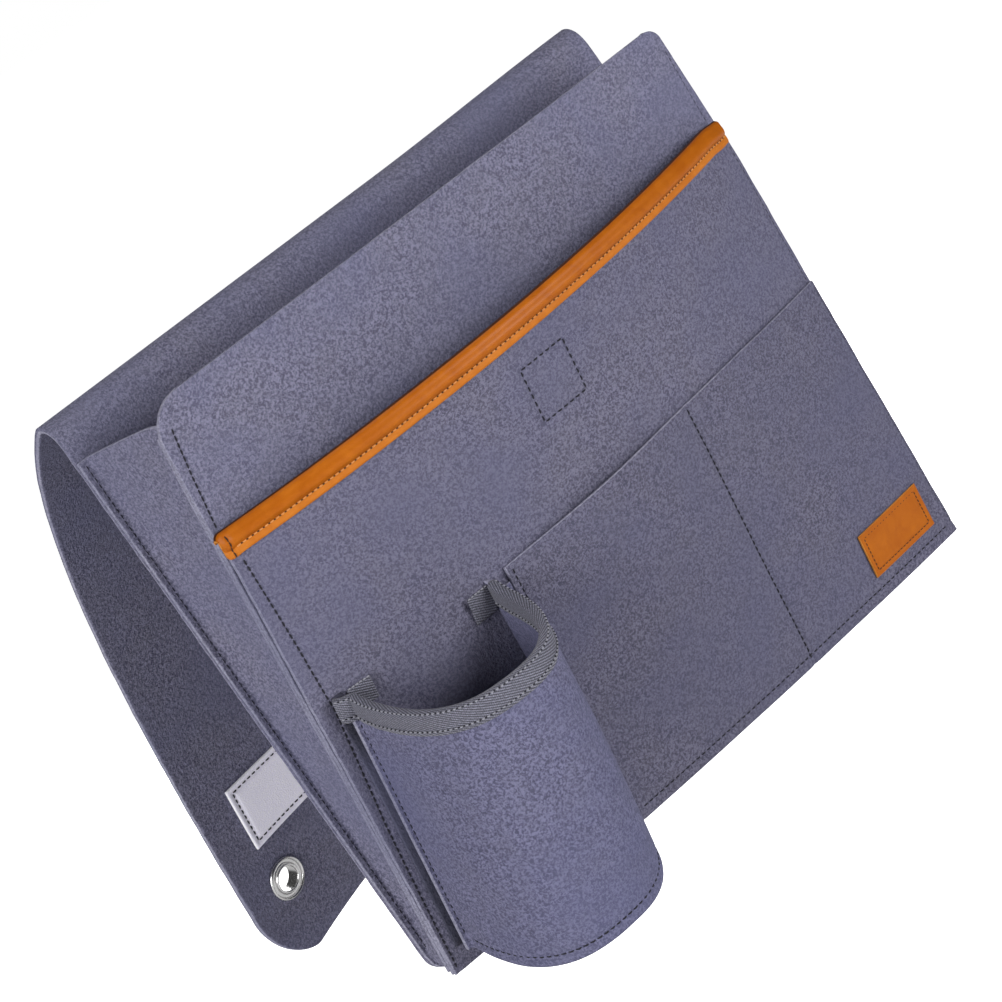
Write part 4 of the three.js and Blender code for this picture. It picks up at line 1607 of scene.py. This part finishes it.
def makeHookTape():
    half = backSheet["width"] / 2 - hookTape["sideInset"]
    low = flapLength - hookTape["endInset"]
    high = low - hookTape["height"]
    felted = sewnBox["panelFelt"] / 2
    seatHeight = -felted - hookTape["gap"]
    border = hookTape["border"]
    edge, lowSeam, highSeam = half - border, low - border, high + border

    def face(x, along):
        distance = max(abs(x) - edge, highSeam - along, along - lowSeam)
        sewn = dent(distance, hookTape["dent"], hookTape["dentReach"])
        return flapPoint(x, along, seatHeight - hookTape["thick"] + sewn)

    def back(x, along):
        return flapPoint(x, along, seatHeight)

    columns = spaced(-half, half, [-half, -edge, edge, half], fine=0.8, coarse=5, reach=2.5)
    rows = spaced(high, low, [high, highSeam, lowSeam, low], fine=0.8, coarse=3, reach=2.5)
    grids = [[placed(surface(x, along) for x in columns) for along in rows] for surface in (face, back)]
    piece = sheetPiece("hookTapeStrip", *grids, [hookFace, hookEdge], 0.25)
    seat(piece, "flap", "hook_and_loop", "hook_tape")
    for (x0, s0), (x1, s1) in boxSides(-edge, edge, lowSeam, highSeam):
        inner, outer = [], []
        for t in even(0, 1, int(max(abs(x1 - x0), abs(s1 - s0)) / 1.5)):
            x, along = lerp(x0, x1, t), lerp(s0, s1, t)
            normal = flapNormal(x, along)
            inner.append((place(*face(x, along)), -normal))
            outer.append((place(*flapPoint(x, along, felted)), normal))
        sew(flapThread, inner, *hookTape["stitch"])
        sew(flapThread, outer, *hookTape["rearStitch"])


makeHookTape()
threadPiece("flapThread", flapThread, navyThread, "flap", "felt")
print("hook tape made")


# Eyelets: a double rolled ring inside, and a washer with the rolled barrel end outside
eyeletRing = [
    (6.0, -1.6), (6.02, -2.6), (6.12, -3.2), (6.4, -3.6), (6.75, -3.7), (7.1, -3.5), (7.35, -3.0),
    (7.5, -2.4), (7.75, -2.0), (8.4, -1.85), (9.05, -2.0), (9.3, -2.5), (9.6, -3.05), (10.0, -3.3),
    (10.4, -3.15), (10.7, -2.7), (10.8, -2.1), (10.65, -1.7), (7.05, -1.65), (6.9, -1.5), (6.9, 2.6),
    (7.2, 2.9), (8.3, 2.95), (8.9, 3.1), (9.1, 3.5), (8.9, 4.0), (8.2, 4.35), (7.4, 4.4), (6.6, 4.15),
    (6.12, 3.6), (6.0, 2.9),
]
washerRing = [
    (7.2, 1.62), (10.4, 1.62), (10.6, 1.85), (10.6, 2.3), (10.35, 2.62), (9.8, 2.75), (8.9, 2.6),
    (8.2, 2.78), (7.2, 2.8),
]


def lathePiece(name, profile, centre, axis, segments=96):
    turn = Vector((0, 0, 1)).rotation_difference(axis)
    points, faces = [], []
    count = len(profile)
    for k in range(segments):
        angle = 2 * math.pi * k / segments
        for radius, height in profile:
            spot = Vector((radius * math.cos(angle), radius * math.sin(angle), height)) / 1000
            points.append(centre + turn @ spot)
        here, ahead = k * count, (k + 1) % segments * count
        for i in range(count):
            after = (i + 1) % count
            faces.append((here + i, here + after, ahead + after, ahead + i))
    piece = meshPiece(name, points, faces, [nickel])
    piece.data.set_sharp_from_angle(angle=math.radians(50))
    return piece


for side, centre, axis in eyeletSpots:
    ring = lathePiece(side + "EyeletRing", eyeletRing, centre, axis)
    seat(ring, "flap", "eyelet_metal", "eyelet_" + side)
    washer = lathePiece(side + "EyeletWasher", washerRing, centre, axis)
    seat(washer, "flap", "eyelet_metal", "eyelet_washer_" + side)
print("eyelets made")


# Gussets: felt channels that close the box at its sides and bottom
gusset = {
    "flange": 4.2,
    "topDrop": 8.0,
    "low": 1.2,
    "sink": 1.6,
    "frontDrop": 5.0,  # its front flange ends lower, behind the front panel
    "frontDropFrom": 235.0,
    "frontDropRun": 35.0,
    "backSeam": 2.2,
    "bottomHalf": 154.0,
    "bottomFlange": 7.0,
    "bottomEdge": 0.3,
    "stitch": (3.1, 2.3, 0.22),
    "rearStitch": (3.1, 2.3, 0.3),
    "bottomStitch": (3.3, 2.3),
}


def backEdge(side, z):
    return sewnBox["bottomWidth"] / 2 if side < 0 else backRight(z)


def gussetSection(side, z):
    thick, gap = sewnBox["pocketFelt"], sewnBox["layerGap"]
    hollow = smooth((z - 3) / 24)
    flange = lerp(0.8, gusset["flange"], hollow)
    rearEdge, frontEdge = backEdge(side, z) - bottomInset(z), frontWidth(z) / 2
    rearWall, frontWall = rearEdge - flange, frontEdge - flange

    def seatY(x):
        return frontInner(side * x, z) + gap

    rearY, frontY = -gap - thick, seatY(frontWall) + thick
    sink = gusset["sink"] * min((rearY - frontY) / 40, 1.0) * hollow
    outer = [Vector((lerp(rearEdge, rearWall, t), rearY)) for t in even(0, 1, 10)]
    inner = [Vector((lerp(rearEdge, rearWall - thick, t), -gap)) for t in even(0, 1, 10)]
    for t in even(0, 1, 30)[1:-1]:
        x = lerp(rearWall, frontWall, t) - sink * math.sin(math.pi * t)
        outer.append(Vector((x, lerp(rearY, frontY, t))))
        inner.append(Vector((x - thick, lerp(-gap, seatY(frontWall - thick), t))))
    for t in even(0, 1, 10):
        x = lerp(frontWall, frontEdge, t)
        outer.append(Vector((x, seatY(x) + thick)))
        x = lerp(frontWall - thick, frontEdge, t)
        inner.append(Vector((x, seatY(x))))
    return [soften(resampled(line, 56), 3) for line in (outer, inner)]


def makeSideGusset(side, name, node):
    top = sewnBox["height"] - gusset["topDrop"]
    heights = spaced(gusset["low"], top, [gusset["low"], top], fine=1.5, coarse=5.0)
    grids = ([], [])
    for z in heights:
        hidden = gusset["frontDrop"] * smooth((z - gusset["frontDropFrom"]) / gusset["frontDropRun"])
        for grid, line in zip(grids, gussetSection(side, z)):
            rise = raised(side * line[-1].x, z) - z
            row = []
            for p in line:
                share = min(p.y / line[-1].y, 1.0)
                row.append(place(side * p.x, p.y, z + rise * share - hidden * share**16))
            grid.append(row)
    piece = sheetPiece(name, *grids, [felt, feltEdge])
    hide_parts(node)
    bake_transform(piece)
    widths = [runs(row)[-1] for row in grids[0]]
    strips = zip(widths, widths[1:], heights, heights[1:])
    area = sum((a + b) / 2 * (high - low) / 1000 for a, b, low, high in strips)

    # back seam, seen on the flange and again on the rear of the back panel
    front, rear = [], []
    for z in even(top - 2, gusset["low"] + 3, 200):
        x = side * (backEdge(side, z) - gusset["backSeam"])
        front.append((place(x, -sewnBox["layerGap"] - sewnBox["pocketFelt"], z), Vector((0, -1, 0))))
        rear.append((place(x, sewnBox["panelFelt"], z), Vector((0, 1, 0))))
    sew(backThread, front, *gusset["stitch"])
    sew(backThread, rear, *gusset["rearStitch"])


# The bottom strip, an upside-down channel between front and back
def makeBottomGusset():
    thick, gap, low = sewnBox["pocketFelt"], sewnBox["layerGap"], gusset["bottomEdge"]
    half, flange = gusset["bottomHalf"], gusset["bottomFlange"]

    def section(x):
        def seatY(z):
            return frontInner(x, z) + gap

        outer = [Vector((-gap - thick, z)) for z in even(low, flange, 8)]
        inner = [Vector((-gap, z)) for z in even(low, flange + thick, 8)]
        for t in even(0, 1, 12)[1:-1]:
            outer.append(Vector((lerp(-gap - thick, seatY(flange) + thick, t), flange)))
            inner.append(Vector((lerp(-gap, seatY(flange + thick), t), flange + thick)))
        end = low + cornerRise(x)
        outer += [Vector((seatY(z) + thick, z)) for z in even(flange, end, 8)]
        inner += [Vector((seatY(z), z)) for z in even(flange + thick, end, 8)]
        return outer, inner

    grids = ([], [])
    for x in even(-half, half, 90):
        for grid, line in zip(grids, section(x)):
            grid.append([place(x, p.x, p.y) for p in soften(resampled(line, 30), 2)])
    piece = sheetPiece("bottomGussetFelt", *grids, [felt, feltEdge])
    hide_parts("bottom_gusset")
    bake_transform(piece)
    middle = grids[0][len(grids[0]) // 2]
    round(runs(middle)[-1], 4)
    seamY, seamZ = sewnBox["panelFelt"], sewnBox["bottomSeam"]
    rear = [(place(x, seamY, seamZ), Vector((0, 1, 0))) for x in even(2 - half, half - 2, 200)]
    sew(backThread, rear, *gusset["bottomStitch"])


makeSideGusset(-1, "leftGussetFelt", "left_gusset")
makeSideGusset(1, "rightGussetFelt", "right_gusset")
makeBottomGusset()
threadPiece("backSeamThread", backThread, navyThread, "back", "felt")
print("gussets made")


# Floor, light and camera
studio = {
    "floorHeight": -0.62,  # an armrest stands about this high
    "floorSize": 60.0,
    "floorCells": 12,
    "world": 0.07,  # the sky's light on the part; the camera sees it white
    "aim": (0, -0.03, -0.15),
    "lights": {  # place, size and power
        "keyLight": ((0.75, -1.95, 0.1), 1.1, 35.0),
        "sideLight": ((-1.95, -0.74, 0.4), 1.3, 36.5),
        "topLight": ((0.2, 0.1, 2.0), 1.4, 9.0),
        "backLight": ((0.9, 2.1, 0.35), 1.4, 36.0),
    },
}


def cameraRay(tree):
    return tree.nodes.new("ShaderNodeLightPath").outputs["Is Camera Ray"]


def makeFloor():
    cells = studio["floorCells"]
    marks = even(-studio["floorSize"], studio["floorSize"], cells)
    points = [Vector((x, y, studio["floorHeight"])) for y in marks for x in marks]
    corners = [r * (cells + 1) + c for r in range(cells) for c in range(cells)]
    faces = [(a, a + 1, a + cells + 2, a + cells + 1) for a in corners]
    material, tree, wear = newMaterial(
        "paleFloor", 0.9, Specular_IOR_Level=0.1, Emission_Color=(1, 1, 1, 1)
    )
    tone = noiseNode(tree, objectPlace(tree), 0.8, 2, 0.5)
    wear("Base Color", mixColour(tree, tone, (0.75, 0.75, 0.75, 1), (0.78, 0.78, 0.78, 1)))
    # the camera sees the floor as white as the photograph's ground; other rays see it lit
    wear("Emission Strength", cameraRay(tree))
    meshPiece("paleFloor", points, faces, [material])


def makeWorld():
    world = bpy.data.worlds.new("studioWorld")
    world.use_nodes = True
    tree = world.node_tree
    sky = tree.nodes["Background"]
    sky.inputs["Color"].default_value = (1, 1, 1, 1)
    tree.links.new(rangeNode(tree, cameraRay(tree), 0, 1, studio["world"], 1.0), sky.inputs["Strength"])
    scene.world = world


def addLight(name, spot, size, power):
    data = bpy.data.lights.new(name, "AREA")
    data.shape = "DISK"
    data.size = size
    data.energy = power
    light = bpy.data.objects.new(name, data)
    light.location = spot
    light.rotation_euler = (Vector(studio["aim"]) - Vector(spot)).to_track_quat("-Z", "Y").to_euler()
    scene.collection.objects.link(light)


camera = {
    "lens": 118.0,
    "place": (-626.4, -1277.7, 433.3),
    "right": (0.6981, -0.4595, -0.5492),
    "down": (-0.5771, 0.0930, -0.8114),
    "ahead": (0.4239, 0.8833, -0.2002),
}


def addCamera():
    lens = bpy.data.cameras.new("photoCamera")
    lens.lens = camera["lens"]
    lens.sensor_width = 36
    lens.clip_end = 200
    viewer = bpy.data.objects.new("photoCamera", lens)
    axes = Matrix((camera["right"], -Vector(camera["down"]), -Vector(camera["ahead"]))).transposed()
    viewer.matrix_world = Matrix.Translation(place(*camera["place"])) @ axes.to_4x4()
    scene.collection.objects.link(viewer)
    scene.camera = viewer


makeFloor()
makeWorld()
for name, look in studio["lights"].items():
    addLight(name, *look)
addCamera()
scene.view_settings.view_transform = "Standard"
print("floor, light and camera set")
